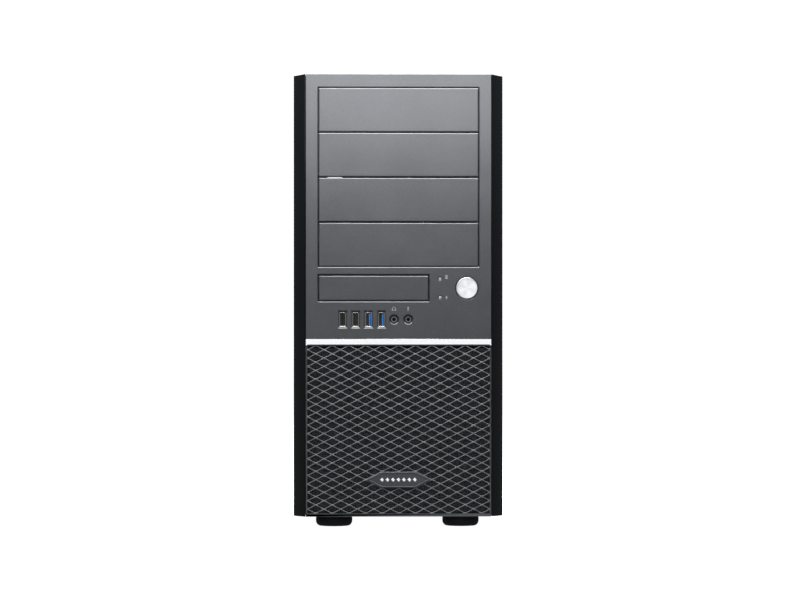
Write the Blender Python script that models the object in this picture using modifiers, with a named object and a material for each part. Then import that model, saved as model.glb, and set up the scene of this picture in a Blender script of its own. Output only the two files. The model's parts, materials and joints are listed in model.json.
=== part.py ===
"""Desktop computer tower, as an assembly of separate parts.

Frame: +Z up, the front faces -Y, and X runs to the right as seen from the front.
The origin is at the centre of the footprint, on the surface that the feet stand on.
All sizes are in metres.
"""

import math

import bmesh
import bpy
from mathutils import Matrix, Vector

# ---------------------------------------------------------------- driving sizes
# Body
WIDTH = 0.1956
BODY_HEIGHT = 0.4125
DEPTH = 0.460
FOOT_HEIGHT = 0.0107
SHEET = 0.001
TOUCH = 0.0003
RUN = 0.0005

# Front moulding
BEZEL_DEPTH = 0.030
PLASTIC = 0.0025
STRIP_WIDTH = 0.01135
STRIP_DROP = 0.0012
STRIP_STEP = 0.0006
STRIP_SETBACK = 0.014

# Drive bay openings and their covers
BAY_COUNT = 4
BAY_PITCH = 0.0419
BAY_OPENING_WIDTH = 0.1505
BAY_TOP_MARGIN = 0.0123
SMALL_BAY_WIDTH = 0.1039
SMALL_BAY_HEIGHT = 0.0251
SMALL_BAY_SPACING = 0.0070
COVER_GAP = 0.0009
COVER_SEAM = 0.0005
COVER_THICK = 0.002
COVER_DEPTH = 0.021
COVER_EAR = 0.0015
COVER_RIB_DEPTH = 0.007
FRAME_REVEAL = 0.001

# Power button and its switch
BUTTON_RADIUS = 0.0101
BUTTON_X = 0.0637
BUTTON_PROUD = 0.0010
BUTTON_GAP = 0.0005
BUTTON_TRAVEL = 0.0025
BUTTON_LENGTH = 0.008
STEM_RADIUS = 0.003
STEM_LENGTH = 0.006
GUIDE_LENGTH = 0.008
GUIDE_WALL = 0.0015
SWITCH_SIZE = 0.012
SWITCH_DEPTH = 0.007

# Indicator lenses
LENS_RADIUS = 0.0015
LENS_LENGTH = 0.0065
LENS_X = 0.0387
LENS_OFFSET = 0.0086

# Front sockets
PORT_ROW_DROP = 0.0167
PORT_RECESS = 0.0015
USB_COUNT = 4
USB_X = -0.0522
USB_PITCH = 0.0121
USB_WIDTH = 0.0057
USB_HEIGHT = 0.0131
USB_DEPTH = 0.0140
USB_WALL = 0.0004
USB_MARGIN_X = 0.00145
USB_MARGIN_Z = 0.0018
TONGUE_THICK = 0.0018
TONGUE_WIDTH = 0.0112
JACK_COUNT = 2
JACK_X = -0.0042
JACK_PITCH = 0.0133
JACK_RADIUS = 0.0042
JACK_GAP = 0.0006
JACK_BORE_RADIUS = 0.0018
JACK_DEPTH = 0.0130
PORT_BOARD_MARGIN = 0.007

# Trim, grille, badge and filter
TRIM_DROP = 0.0182
TRIM_HEIGHT = 0.0052
TRIM_THICK = 0.0012
TRIM_PROUD = 0.0003
GRILLE_THICK = 0.005
GRILLE_STEP = 0.0004
GRILLE_CORNER = 0.0026
GRILLE_SIDE_FRAME = 0.0013
GRILLE_TOP_FRAME = 0.0012
GRILLE_LOW_FRAME = 0.0030
CELL_WIDTH = 0.0312
CELL_HEIGHT = 0.01564
RIB = 0.0014
BADGE_WIDTH = 0.0604
BADGE_FLAT = 0.0310
BADGE_HEIGHT = 0.0149
BADGE_CENTRE = 0.0343
BADGE_PROUD = 0.0008
BADGE_PAD = 0.0015
FILTER_THICK = 0.003
FILTER_MARGIN = 0.003

# Side panels and their screws
HEM = 0.007
FLANGE = 0.014
LIP = 0.0136
SCREW_INSET = 0.0069
SCREW_MARGIN = 0.050
SCREW_HEAD_RADIUS = 0.0065
SCREW_HEAD_LENGTH = 0.0065
SCREW_RADIUS = 0.0017
SCREW_REACH = 0.008
RAIL_HEIGHT = 0.010
RAIL_INSET = 0.002

# Feet
FOOT_RADIUS = 0.0172
FOOT_X = 0.0597
FRONT_FOOT_SETBACK = 0.048
REAR_FOOT_SETBACK = 0.024

# Drive cages and the drive
CAGE_DEPTH = 0.165
DRIVE_WIDTH_LARGE = 0.149
DRIVE_WIDTH_SMALL = 0.1026
LOWER_CAGE_DEPTH = 0.150
LOWER_CAGE_HEIGHT = 0.134
LOWER_CAGE_PITCH = 0.029
CAGE_SLOT_LENGTH = 0.018
CAGE_SLOT_WIDTH = 0.004
HARD_DRIVE_WIDTH = 0.1012
HARD_DRIVE_DEPTH = 0.147
HARD_DRIVE_HEIGHT = 0.0261
HARD_DRIVE_LIFT = 0.042
HARD_DRIVE_STEP = 0.003

# Mainboard and what stands on it
STANDOFF = 0.00635
STANDOFF_RADIUS = 0.003
BOARD_SIZE = 0.244
BOARD_THICK = 0.0016
BOARD_HOLE_INSET = 0.0065
BOARD_TOP_MARGIN = 0.011
BOARD_REAR_GAP = 0.003
PORT_PLATE_WIDTH = 0.04445
PORT_PLATE_HEIGHT = 0.15875
PORT_BLOCK_DEPTH = 0.016
PORT_BLOCK_BASE = 0.0015
PORT_REAR_PROUD = 0.0008
MEMORY_HEIGHT = 0.030
MEMORY_LENGTH = 0.133
MEMORY_THICK = 0.0036
MEMORY_SOCKET = 0.007
MEMORY_PITCH = 0.010
CARD_SOCKET = 0.011
POWER_SOCKET = 0.0125
DATA_SOCKET = 0.0085
PROCESSOR_SIZE = 0.0375
PROCESSOR_THICK = 0.0045
COOLER_RADIUS = 0.045
COOLER_ROOT = 0.42
COOLER_HEIGHT = 0.028
COOLER_FINS = 28
COOLER_SETBACK = 0.104
COOLER_DROP = 0.073

# Expansion slots and the card
SLOT_PITCH = 0.02032
SLOT_DROP = 0.0145
SLOT_LENGTH = 0.107
SLOT_HEIGHT = 0.013
CARD_REACH = 0.098
CARD_LENGTH = 0.168
CARD_FINS = 9
CARD_FIN_HEIGHT = 0.0125
CARD_FIN_THICK = 0.002

# Fans
CASE_FAN = 0.120
CASE_FAN_DEPTH = 0.025
COOLER_FAN = 0.092
COOLER_FAN_DEPTH = 0.025
REAR_FAN_X = -0.027
REAR_FAN_DROP = 0.070
FRONT_FAN_LIFT = 0.006
FAN_DUCT = 0.48
FAN_SCREW = 0.4375
FAN_SCREW_RADIUS = 0.0021
FAN_HUB = 0.165
FAN_BLADE = 0.465
FAN_ARM = 0.0035
FAN_ARM_WIDTH = 0.004
FAN_CLEAR = 0.006
BLADE_THICK = 0.0014

# Power supply
PSU_WIDTH = 0.150
PSU_DEPTH = 0.140
PSU_HEIGHT = 0.086
PSU_LIFT = 0.0025
PSU_SIDE_GAP = 0.0072
PSU_MARGIN = 0.006
PSU_DUCT_RADIUS = 0.056
PSU_ROTOR_RADIUS = 0.054
PSU_ROTOR_HEIGHT = 0.018
INLET_WIDTH = 0.027
INLET_HEIGHT = 0.0195
INLET_DEPTH = 0.020
INLET_WALL = 0.0018
INLET_INSET = 0.020
INLET_LIFT = 0.020
BLADE_PITCH = 0.007
ROCKER_WIDTH = 0.018
ROCKER_HEIGHT = 0.011
ROCKER_THICK = 0.0035
ROCKER_GAP = 0.0006
ROCKER_TILT = math.radians(8.0)
ROCKER_INSET = 0.0245
ROCKER_LIFT = 0.055
OUTLET_INSET = 0.030
OUTLET_LIFT = 0.060

# Leads
POWER_LEAD_RADIUS = 0.005
DATA_LEAD_RADIUS = 0.0018

# ---------------------------------------------------------------- derived places
HALF = WIDTH / 2
BASE_Z = FOOT_HEIGHT + TOUCH
TOP_Z = BASE_Z + BODY_HEIGHT
REAR_PROUD = 2 * TOUCH + SHEET + SCREW_HEAD_LENGTH
FRONT_Y = -(DEPTH + REAR_PROUD - BUTTON_PROUD) / 2
REAR_Y = FRONT_Y + DEPTH
CHASSIS_Y = FRONT_Y + BEZEL_DEPTH
FLOOR_Z = BASE_Z + SHEET
ROOF_Z = TOP_Z - SHEET
HEM_LOW = FLOOR_Z + TOUCH
HEM_HIGH = ROOF_Z - TOUCH
WALL_LOW = HEM_LOW + SHEET + RUN
WALL_HIGH = HEM_HIGH - SHEET - RUN
WALL_X = HALF - SHEET - RUN
RAIL_X = HALF - HEM - RUN
TRAY_X = RAIL_X - SHEET - TOUCH
TRAY_IN = TRAY_X - SHEET
REAR_IN = REAR_Y - SHEET - TOUCH
FRAME_IN = CHASSIS_Y + SHEET + TOUCH
SCREW_X = HALF - SCREW_INSET
SCREW_ROWS = (WALL_LOW + SCREW_MARGIN, WALL_HIGH - SCREW_MARGIN)

FACE_HALF = HALF - STRIP_WIDTH
BAY_HALF = BAY_OPENING_WIDTH / 2
BAY_TOP = TOP_Z - BAY_TOP_MARGIN
BAY_LOW = BAY_TOP - BAY_COUNT * BAY_PITCH
SMALL_TOP = BAY_LOW - SMALL_BAY_SPACING
SMALL_LOW = SMALL_TOP - SMALL_BAY_HEIGHT
SMALL_MID = (SMALL_TOP + SMALL_LOW) / 2
SMALL_RIGHT = -BAY_HALF + SMALL_BAY_WIDTH
PORT_Z = SMALL_LOW - PORT_ROW_DROP
TRIM_TOP = PORT_Z - TRIM_DROP
TRIM_LOW = TRIM_TOP - TRIM_HEIGHT
TRIM_Y = FRONT_Y - TRIM_PROUD
GRILLE_Y = FRONT_Y + GRILLE_STEP
GRILLE_BACK = GRILLE_Y + GRILLE_THICK
GRILLE_TOP = TRIM_LOW - TOUCH
BADGE_Z = BASE_Z + BADGE_CENTRE

BOARD_BACK_X = TRAY_IN - STANDOFF
BOARD_X = BOARD_BACK_X - BOARD_THICK
BOARD_TOP = TOP_Z - BOARD_TOP_MARGIN
BOARD_LOW = BOARD_TOP - BOARD_SIZE
BOARD_REAR = REAR_Y - SHEET - BOARD_REAR_GAP
BOARD_FRONT = BOARD_REAR - BOARD_SIZE
PLATE_X1 = BOARD_BACK_X + 0.0006
PLATE_X0 = PLATE_X1 - PORT_PLATE_WIDTH
PLATE_TOP = BOARD_TOP - 0.004
PLATE_LOW = PLATE_TOP - PORT_PLATE_HEIGHT
SLOT_Z = PLATE_LOW - SLOT_DROP
SLOT_X1 = BOARD_X - 0.003
SLOT_X0 = SLOT_X1 - SLOT_LENGTH
MEMORY_Y = BOARD_FRONT + 0.056
MEMORY_Z = BOARD_TOP - 0.082
POWER_SOCKET_Z = BOARD_TOP - 0.090
DATA_SOCKET_Z = BOARD_LOW + 0.030
REAR_FAN_Z = BOARD_TOP - REAR_FAN_DROP
COOLER_Y = BOARD_REAR - COOLER_SETBACK
COOLER_Z = BOARD_TOP - COOLER_DROP
PSU_X1 = TRAY_IN - PSU_SIDE_GAP
PSU_X0 = PSU_X1 - PSU_WIDTH
PSU_Z0 = FLOOR_Z + PSU_LIFT
PSU_Z1 = PSU_Z0 + PSU_HEIGHT
PSU_Y1 = REAR_IN
PSU_Y0 = PSU_Y1 - PSU_DEPTH
PSU_FAN_X = (PSU_X0 + PSU_X1) / 2
PSU_FAN_Y = (PSU_Y0 + PSU_Y1) / 2
OUTLET_X = PSU_X1 - OUTLET_INSET
OUTLET_Z = PSU_Z0 + OUTLET_LIFT
CAGE_X0 = -DRIVE_WIDTH_LARGE / 2 - SHEET
CAGE_SPLIT_X = CAGE_X0 + 2 * SHEET + DRIVE_WIDTH_SMALL
LOWER_CAGE_Y = FRAME_IN + CASE_FAN_DEPTH + 0.002
LOWER_CAGE_TOP = FLOOR_Z + LOWER_CAGE_HEIGHT
DRIVE_X = (CAGE_X0 + CAGE_SPLIT_X) / 2
DRIVE_Z = HEM_LOW + SHEET + HARD_DRIVE_LIFT
DRIVE_BACK = LOWER_CAGE_Y + 0.002 + HARD_DRIVE_DEPTH
FRONT_FAN_Z = FLOOR_Z + FRONT_FAN_LIFT + CASE_FAN / 2

# Rear connectors: start above the plate's lower edge, width along Z, reach from the board.
REAR_PORTS = (
    (0.006, 0.0140, 0.0340),
    (0.024, 0.0170, 0.0300),
    (0.046, 0.0160, 0.0160),
    (0.066, 0.0400, 0.0125),
    (0.110, 0.0160, 0.0160),
    (0.132, 0.0150, 0.0300),
)

ROUND_SIDES = 32
SMALL_SIDES = 16
LAP = 0.001


# ---------------------------------------------------------------- scene and materials
for stale in list(bpy.data.objects):
    bpy.data.objects.remove(stale, do_unlink=True)


def new_collection(name):
    collection = bpy.data.collections.new(name)
    bpy.context.scene.collection.children.link(collection)
    return collection


MODEL = new_collection("desktop_tower")
CUTTERS = new_collection("cutters")


def material(name, colour, roughness, metallic=0.0):
    made = bpy.data.materials.new(name)
    made.use_nodes = True
    shader = made.node_tree.nodes["Principled BSDF"]
    shader.inputs["Base Color"].default_value = (*colour, 1.0)
    shader.inputs["Roughness"].default_value = roughness
    shader.inputs["Metallic"].default_value = metallic
    return made


SATIN = ("satin_grey_plastic", (0.085, 0.088, 0.093), 0.38)
GLOSS = ("gloss_black_plastic", (0.008, 0.008, 0.010), 0.12)
LATTICE = ("moulded_grille_plastic", (0.060, 0.060, 0.064), 0.42)
FOAM = ("filter_foam", (0.030, 0.030, 0.032), 0.95)
SILVER = ("spun_aluminium", (0.86, 0.87, 0.88), 0.22, 1.0)
BRIGHT = ("bright_trim", (0.90, 0.90, 0.91), 0.12, 1.0)
BLACK_STEEL = ("powder_coated_steel", (0.012, 0.012, 0.013), 0.48)
ZINC = ("zinc_plated_steel", (0.55, 0.56, 0.57), 0.40, 1.0)
RUBBER = ("rubber", (0.014, 0.014, 0.015), 0.80)
BOARD = ("circuit_board", (0.010, 0.045, 0.022), 0.45)
FAN_PLASTIC = ("fan_plastic", (0.016, 0.016, 0.017), 0.40)
CONNECTOR = ("connector_plastic", (0.020, 0.020, 0.022), 0.40)
SHELL_METAL = ("nickel_shell", (0.62, 0.61, 0.59), 0.28, 1.0)
FIN_METAL = ("extruded_aluminium", (0.72, 0.73, 0.74), 0.34, 1.0)
LEAD_SLEEVE = ("lead_sleeve", (0.012, 0.012, 0.012), 0.55)
LENS = ("clear_lens", (0.80, 0.82, 0.84), 0.08)


# ---------------------------------------------------------------- modelling helpers
def add_object(name, data, finish=None):
    """A part with a material of its own, or, with no finish, a cutter."""
    obj = bpy.data.objects.new(name, data)
    if finish:
        MODEL.objects.link(obj)
        look, *values = finish
        data.materials.clear()
        data.materials.append(material(f"{name}_{look}", *values))
    else:
        CUTTERS.objects.link(obj)
        obj.hide_render = True
        obj.display_type = "WIRE"
    return obj


def mesh_object(name, bm, finish=None, origin=(0, 0, 0)):
    """Puts a bmesh into a new object whose origin is at the given place."""
    bmesh.ops.translate(bm, verts=bm.verts, vec=-Vector(origin))
    mesh = bpy.data.meshes.new(name)
    bm.to_mesh(mesh)
    bm.free()
    obj = add_object(name, mesh, finish)
    obj.location = origin
    return obj


def box(name, low, high, finish=None):
    """A block between two corners."""
    size = [b - a for a, b in zip(low, high)]
    centre = [(a + b) / 2 for a, b in zip(low, high)]
    bm = bmesh.new()
    bmesh.ops.create_cube(bm, size=1.0, matrix=Matrix.Diagonal((*size, 1.0)))
    bmesh.ops.translate(bm, verts=bm.verts, vec=centre)
    return mesh_object(name, bm, finish, centre)


# Turns a thing built along +Z to run along the named axis.
TURN = {
    "X": Matrix.Rotation(math.radians(90), 4, "Y"),
    "Y": Matrix.Rotation(math.radians(-90), 4, "X"),
    "Z": Matrix.Identity(4),
}


def cylinder(name, start, axis, length, radius, finish=None, sides=ROUND_SIDES):
    """A round bar from start, along the axis for its length."""
    bm = bmesh.new()
    bmesh.ops.create_cone(
        bm, cap_ends=True, segments=sides, radius1=radius, radius2=radius, depth=length
    )
    bmesh.ops.translate(bm, verts=bm.verts, vec=(0, 0, length / 2))
    bmesh.ops.transform(bm, matrix=TURN[axis], verts=bm.verts)
    bmesh.ops.translate(bm, verts=bm.verts, vec=start)
    return mesh_object(name, bm, finish, start)


def evaluated_mesh(curve):
    """The mesh that a curve makes; the curve's own object is removed again."""
    guide = bpy.data.objects.new(curve.name, curve)
    bpy.context.scene.collection.objects.link(guide)
    graph = bpy.context.evaluated_depsgraph_get()
    mesh = bpy.data.meshes.new_from_object(guide.evaluated_get(graph))
    bpy.data.objects.remove(guide, do_unlink=True)
    return mesh


# How a flat outline's (u, v) lies in the world, for each direction of its thickness.
PLANE = {
    "X": Matrix(((0, 0, 1, 0), (1, 0, 0, 0), (0, 1, 0, 0), (0, 0, 0, 1))),
    "Y": Matrix(((1, 0, 0, 0), (0, 0, -1, 0), (0, 1, 0, 0), (0, 0, 0, 1))),
    "Z": Matrix.Identity(4),
}


def plate(name, outlines, axis, low, high, finish=None):
    """A flat outline with holes, extruded along an axis from low to high.

    Outlines are closed loops of (u, v): (y, z) for X, (x, z) for Y and (x, y) for Z.
    """
    curve = bpy.data.curves.new(name + "_outline", "CURVE")
    curve.dimensions = "2D"
    curve.fill_mode = "BOTH"
    curve.extrude = (high - low) / 2
    for outline in outlines:
        spline = curve.splines.new("POLY")
        spline.points.add(len(outline) - 1)
        for point, (u, v) in zip(spline.points, outline):
            point.co = (u, v, 0.0, 1.0)
        spline.use_cyclic_u = True
    bm = bmesh.new()
    bm.from_mesh(evaluated_mesh(curve))
    bmesh.ops.remove_doubles(bm, verts=bm.verts, dist=1e-6)
    bmesh.ops.dissolve_degenerate(bm, edges=bm.edges, dist=1e-7)
    bmesh.ops.recalc_face_normals(bm, faces=bm.faces)
    bmesh.ops.transform(bm, matrix=PLANE[axis], verts=bm.verts)
    middle = Vector((0, 0, 0))
    middle["XYZ".index(axis)] = (low + high) / 2
    bmesh.ops.translate(bm, verts=bm.verts, vec=middle)
    return mesh_object(name, bm, finish)


def rect(u0, u1, v0, v1):
    return [(u0, v0), (u1, v0), (u1, v1), (u0, v1)]


def arc(u, v, radius, start, end, steps):
    """Points on a circle's arc, angles in degrees, both ends included."""
    angles = [math.radians(start + (end - start) * i / steps) for i in range(steps + 1)]
    return [(u + radius * math.cos(a), v + radius * math.sin(a)) for a in angles]


def ring(u, v, radius, sides=ROUND_SIDES):
    return arc(u, v, radius, 0, 360, sides)[:-1]


def boolean(target, other, operation):
    modifier = target.modifiers.new(operation.lower(), "BOOLEAN")
    modifier.operation = operation
    modifier.object = other
    modifier.solver = "EXACT"


def cut(target, *others):
    for other in others:
        boolean(target, other, "DIFFERENCE")
    return target


def join(target, *others):
    for other in others:
        boolean(target, other, "UNION")
    return target


def punch(target, outlines, axis, low, high):
    """Cuts every outline through the target between low and high."""
    return cut(target, plate(target.name + "_punch", outlines, axis, low, high))


def turned(name, centre, profile, finish, steps=24):
    """A solid of revolution about a vertical line; the profile is (radius, height), top to bottom."""
    mesh = bpy.data.meshes.new(name)
    points = [(r, 0.0, z) for r, z in profile]
    mesh.from_pydata(points, [(i, i + 1) for i in range(len(points) - 1)], [])
    obj = add_object(name, mesh, finish)
    obj.location = centre
    screw = obj.modifiers.new("turn", "SCREW")
    screw.steps = steps
    screw.render_steps = steps
    screw.use_merge_vertices = True
    screw.merge_threshold = 1e-5
    return obj


def smooth(obj):
    obj.data.shade_smooth()
    obj.data.set_sharp_from_angle(angle=math.radians(35))
    return obj


# ---------------------------------------------------------------- steel chassis
def vent_rows(u, v, radius, pitch, rib):
    """Slots along u, stacked along v, that fill a circle."""
    rows = int(radius / pitch)
    found = []
    for row in range(-rows, rows + 1):
        reach = abs(row * pitch) + (pitch - rib) / 2
        if reach >= radius:
            continue
        half = math.sqrt(radius**2 - reach**2)
        low = v + row * pitch - (pitch - rib) / 2
        found.append(rect(u - half, u + half, low, low + pitch - rib))
    return found


def flat_sheet(name, outlines, low, high, rail_low, rail_high):
    """Roof or floor sheet, with an upright rail near each side."""
    sheet = plate(name, outlines, "Z", low, high, BLACK_STEEL)
    for side in (-1, 1):
        x0, x1 = sorted((side * RAIL_X, side * (RAIL_X - SHEET)))
        y0, y1 = FRAME_IN + RAIL_INSET, REAR_IN - RAIL_INSET
        join(sheet, box(f"{name}_rail_{side}", (x0, y0, rail_low), (x1, y1, rail_high)))


def base_pan():
    """Bottom sheet with a vent under the power supply."""
    edge = rect(-HALF, HALF, CHASSIS_Y, REAR_Y)
    vent = vent_rows(PSU_FAN_X, PSU_FAN_Y, PSU_DUCT_RADIUS - 0.008, 0.010, 0.004)
    flat_sheet("base_pan", [edge, *vent], BASE_Z, FLOOR_Z, FLOOR_Z - SHEET / 2, FLOOR_Z + RAIL_HEIGHT)


def top_panel():
    edge = rect(-HALF, HALF, CHASSIS_Y, REAR_Y)
    flat_sheet("top_panel", [edge], ROOF_Z, TOP_Z, ROOF_Z - RAIL_HEIGHT, ROOF_Z + SHEET / 2)


def channel(name, y, turn, finish):
    """Upright sheet across the body at y, with a flange folded inwards (turn +1 or -1) at each side."""
    x, inner = WALL_X, WALL_X - SHEET
    fold, back = y + turn * FLANGE, y + turn * SHEET
    outline = [
        (-x, y),
        (x, y),
        (x, fold),
        (inner, fold),
        (inner, back),
        (-inner, back),
        (-inner, fold),
        (-x, fold),
    ]
    return plate(name, [outline], "Z", WALL_LOW, WALL_HIGH, finish)


def front_frame():
    """Steel front with the drive openings, two lead openings and the fan opening."""
    reveal = FRAME_REVEAL
    bay = BAY_HALF - reveal
    right = CAGE_SPLIT_X - SHEET
    holes = [
        rect(-bay, bay, BAY_LOW + reveal, BAY_TOP - reveal),
        rect(-bay, right, SMALL_LOW + reveal, SMALL_TOP - reveal),
        rect(-bay, right, PORT_Z - 0.012, SMALL_LOW - PORT_ROW_DROP / 2),
        rect(CAGE_SPLIT_X + 0.006, RAIL_X - 0.006, PORT_Z - 0.012, SMALL_TOP - reveal),
        ring(DRIVE_X, FRONT_FAN_Z, CASE_FAN / 2 - 0.003),
    ]
    frame = channel("front_frame", CHASSIS_Y, 1, BLACK_STEEL)
    punch(frame, holes, "Y", CHASSIS_Y - SHEET, CHASSIS_Y + 2 * SHEET)


def rear_panel():
    """Steel rear wall: connector opening, fan vent, one open card slot and power supply opening."""
    holes = [
        rect(PLATE_X0, PLATE_X1, PLATE_LOW, PLATE_TOP),
        rect(PSU_X0 + PSU_MARGIN, PSU_X1 - PSU_MARGIN, PSU_Z0 + PSU_MARGIN, PSU_Z1 - PSU_MARGIN),
        rect(SLOT_X0, SLOT_X1, SLOT_Z - SLOT_HEIGHT / 2, SLOT_Z + SLOT_HEIGHT / 2),
        *vent_rows(REAR_FAN_X, REAR_FAN_Z, CASE_FAN / 2 - 0.004, 0.0105, 0.0025),
    ]
    for side in (-1, 1):
        for z in SCREW_ROWS:
            holes.append(ring(side * SCREW_X, z, SCREW_RADIUS + RUN, SMALL_SIDES))
    wall = channel("rear_panel", REAR_Y, -1, ZINC)
    punch(wall, holes, "Y", REAR_Y - 2 * SHEET, REAR_Y + SHEET)


def board_tray():
    """Upright sheet that carries the mainboard on standoffs, with a window behind the processor."""
    y0 = FRAME_IN + CAGE_DEPTH + 0.002
    half = PROCESSOR_SIZE
    window = rect(COOLER_Y - half, COOLER_Y + half, COOLER_Z - half, COOLER_Z + half)
    edge = rect(y0, REAR_IN, HEM_LOW, HEM_HIGH)
    tray = plate("board_tray", [edge, window], "X", TRAY_IN, TRAY_X, ZINC)
    step = (BOARD_SIZE - 2 * BOARD_HOLE_INSET) / 2
    for column in range(3):
        for row in range(3):
            y = BOARD_FRONT + BOARD_HOLE_INSET + column * step
            z = BOARD_LOW + BOARD_HOLE_INSET + row * step
            if (column, row) == (1, 1):
                continue
            start = (BOARD_BACK_X + TOUCH, y, z)
            join(tray, cylinder(f"standoff_{column}{row}", start, "X", STANDOFF, STANDOFF_RADIUS, sides=8))


def cage_slots(cage, x0, x1, y0, rows):
    """Screw slots through both upright walls of a cage."""
    holes = []
    for z in rows:
        for share in (0.28, 0.60):
            y = y0 + share * CAGE_DEPTH
            holes.append(rect(y, y + CAGE_SLOT_LENGTH, z - CAGE_SLOT_WIDTH / 2, z + CAGE_SLOT_WIDTH / 2))
    punch(cage, holes, "X", x0 - SHEET, x1 + SHEET)


def upper_drive_cage():
    """Folded sheet around the large bays, with the small bay hanging below."""
    t = SHEET
    x0, x1, split = CAGE_X0, -CAGE_X0, CAGE_SPLIT_X
    shelf = BAY_LOW - TOUCH
    small = SMALL_LOW - TOUCH
    top = HEM_HIGH
    outline = [(x0, small - t), (split, small - t), (split, shelf - t), (x1, shelf - t), (x1, top), (x0, top)]
    y0, y1 = FRAME_IN, FRAME_IN + CAGE_DEPTH
    cage = plate("upper_drive_cage", [outline], "Y", y0, y1, ZINC)
    large = box("large_bays", (x0 + t, y0 - t, shelf), (x1 - t, y1 + t, top + t))
    little = box("small_bay", (x0 + t, y0 - t, small), (split - t, y1 + t, shelf - t))
    cut(cage, large, little)
    cage_slots(cage, x0, x1, y0, [BAY_LOW + (i + 0.35) * BAY_PITCH for i in range(BAY_COUNT)])


def lower_drive_cage():
    """Open-ended box for the hard drives, standing on the base pan."""
    t = SHEET
    x0, x1, y0 = CAGE_X0, CAGE_SPLIT_X, LOWER_CAGE_Y
    edge = rect(x0, x1, HEM_LOW, LOWER_CAGE_TOP)
    window = rect(x0 + t, x1 - t, HEM_LOW + t, LOWER_CAGE_TOP - t)
    cage = plate("lower_drive_cage", [edge, window], "Y", y0, y0 + LOWER_CAGE_DEPTH, ZINC)
    cage_slots(cage, x0, x1, y0, [HEM_LOW + (i + 1) * LOWER_CAGE_PITCH for i in range(3)])


def side_panel(name, side):
    """Steel side with hems that run under the roof and over the base, and a rear lip for the screws."""
    t = SHEET
    outer, inner, hem = side * HALF, side * (HALF - t), side * (HALF - HEM)
    outline = [
        (outer, HEM_LOW),
        (outer, HEM_HIGH),
        (hem, HEM_HIGH),
        (hem, HEM_HIGH - t),
        (inner, HEM_HIGH - t),
        (inner, HEM_LOW + t),
        (hem, HEM_LOW + t),
        (hem, HEM_LOW),
    ]
    lip_y = REAR_Y + TOUCH
    panel = plate(name, [outline], "Y", FRAME_IN, lip_y + t, BLACK_STEEL)
    x0, x1 = sorted((side * (HALF - LIP), outer))
    join(panel, box(name + "_lip", (x0, lip_y, HEM_LOW), (x1, lip_y + t, HEM_HIGH)))
    holes = [ring(side * SCREW_X, z, SCREW_RADIUS + RUN, SMALL_SIDES) for z in SCREW_ROWS]
    punch(panel, holes, "Y", lip_y - t, lip_y + 2 * t)


def thumbscrew(name, x, z):
    """Knurled head, with a shank that passes the panel's lip and the rear wall."""
    knurls = 14
    points = []
    for i in range(2 * knurls):
        radius = SCREW_HEAD_RADIUS * (1 - 0.07 * (i % 2))
        angle = math.pi * i / knurls
        points.append((x + radius * math.cos(angle), z + radius * math.sin(angle)))
    y0 = REAR_Y + TOUCH + SHEET + TOUCH
    head = plate(name, [points], "Y", y0, y0 + SCREW_HEAD_LENGTH, ZINC)
    start = (x, y0 - SCREW_REACH, z)
    join(head, cylinder(name + "_shank", start, "Y", SCREW_REACH + LAP, SCREW_RADIUS, sides=12))


def foot(name, x, y):
    """Turned rubber foot with a rounded lower edge."""
    r, h = FOOT_RADIUS, FOOT_HEIGHT
    profile = [
        (0.0, h),
        (r, h),
        (r, 0.45 * h),
        (0.95 * r, 0.20 * h),
        (0.84 * r, 0.04 * h),
        (0.74 * r, 0.0),
        (0.0, 0.0),
    ]
    smooth(turned(name, (x, y, 0.0), profile, RUBBER))


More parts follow.
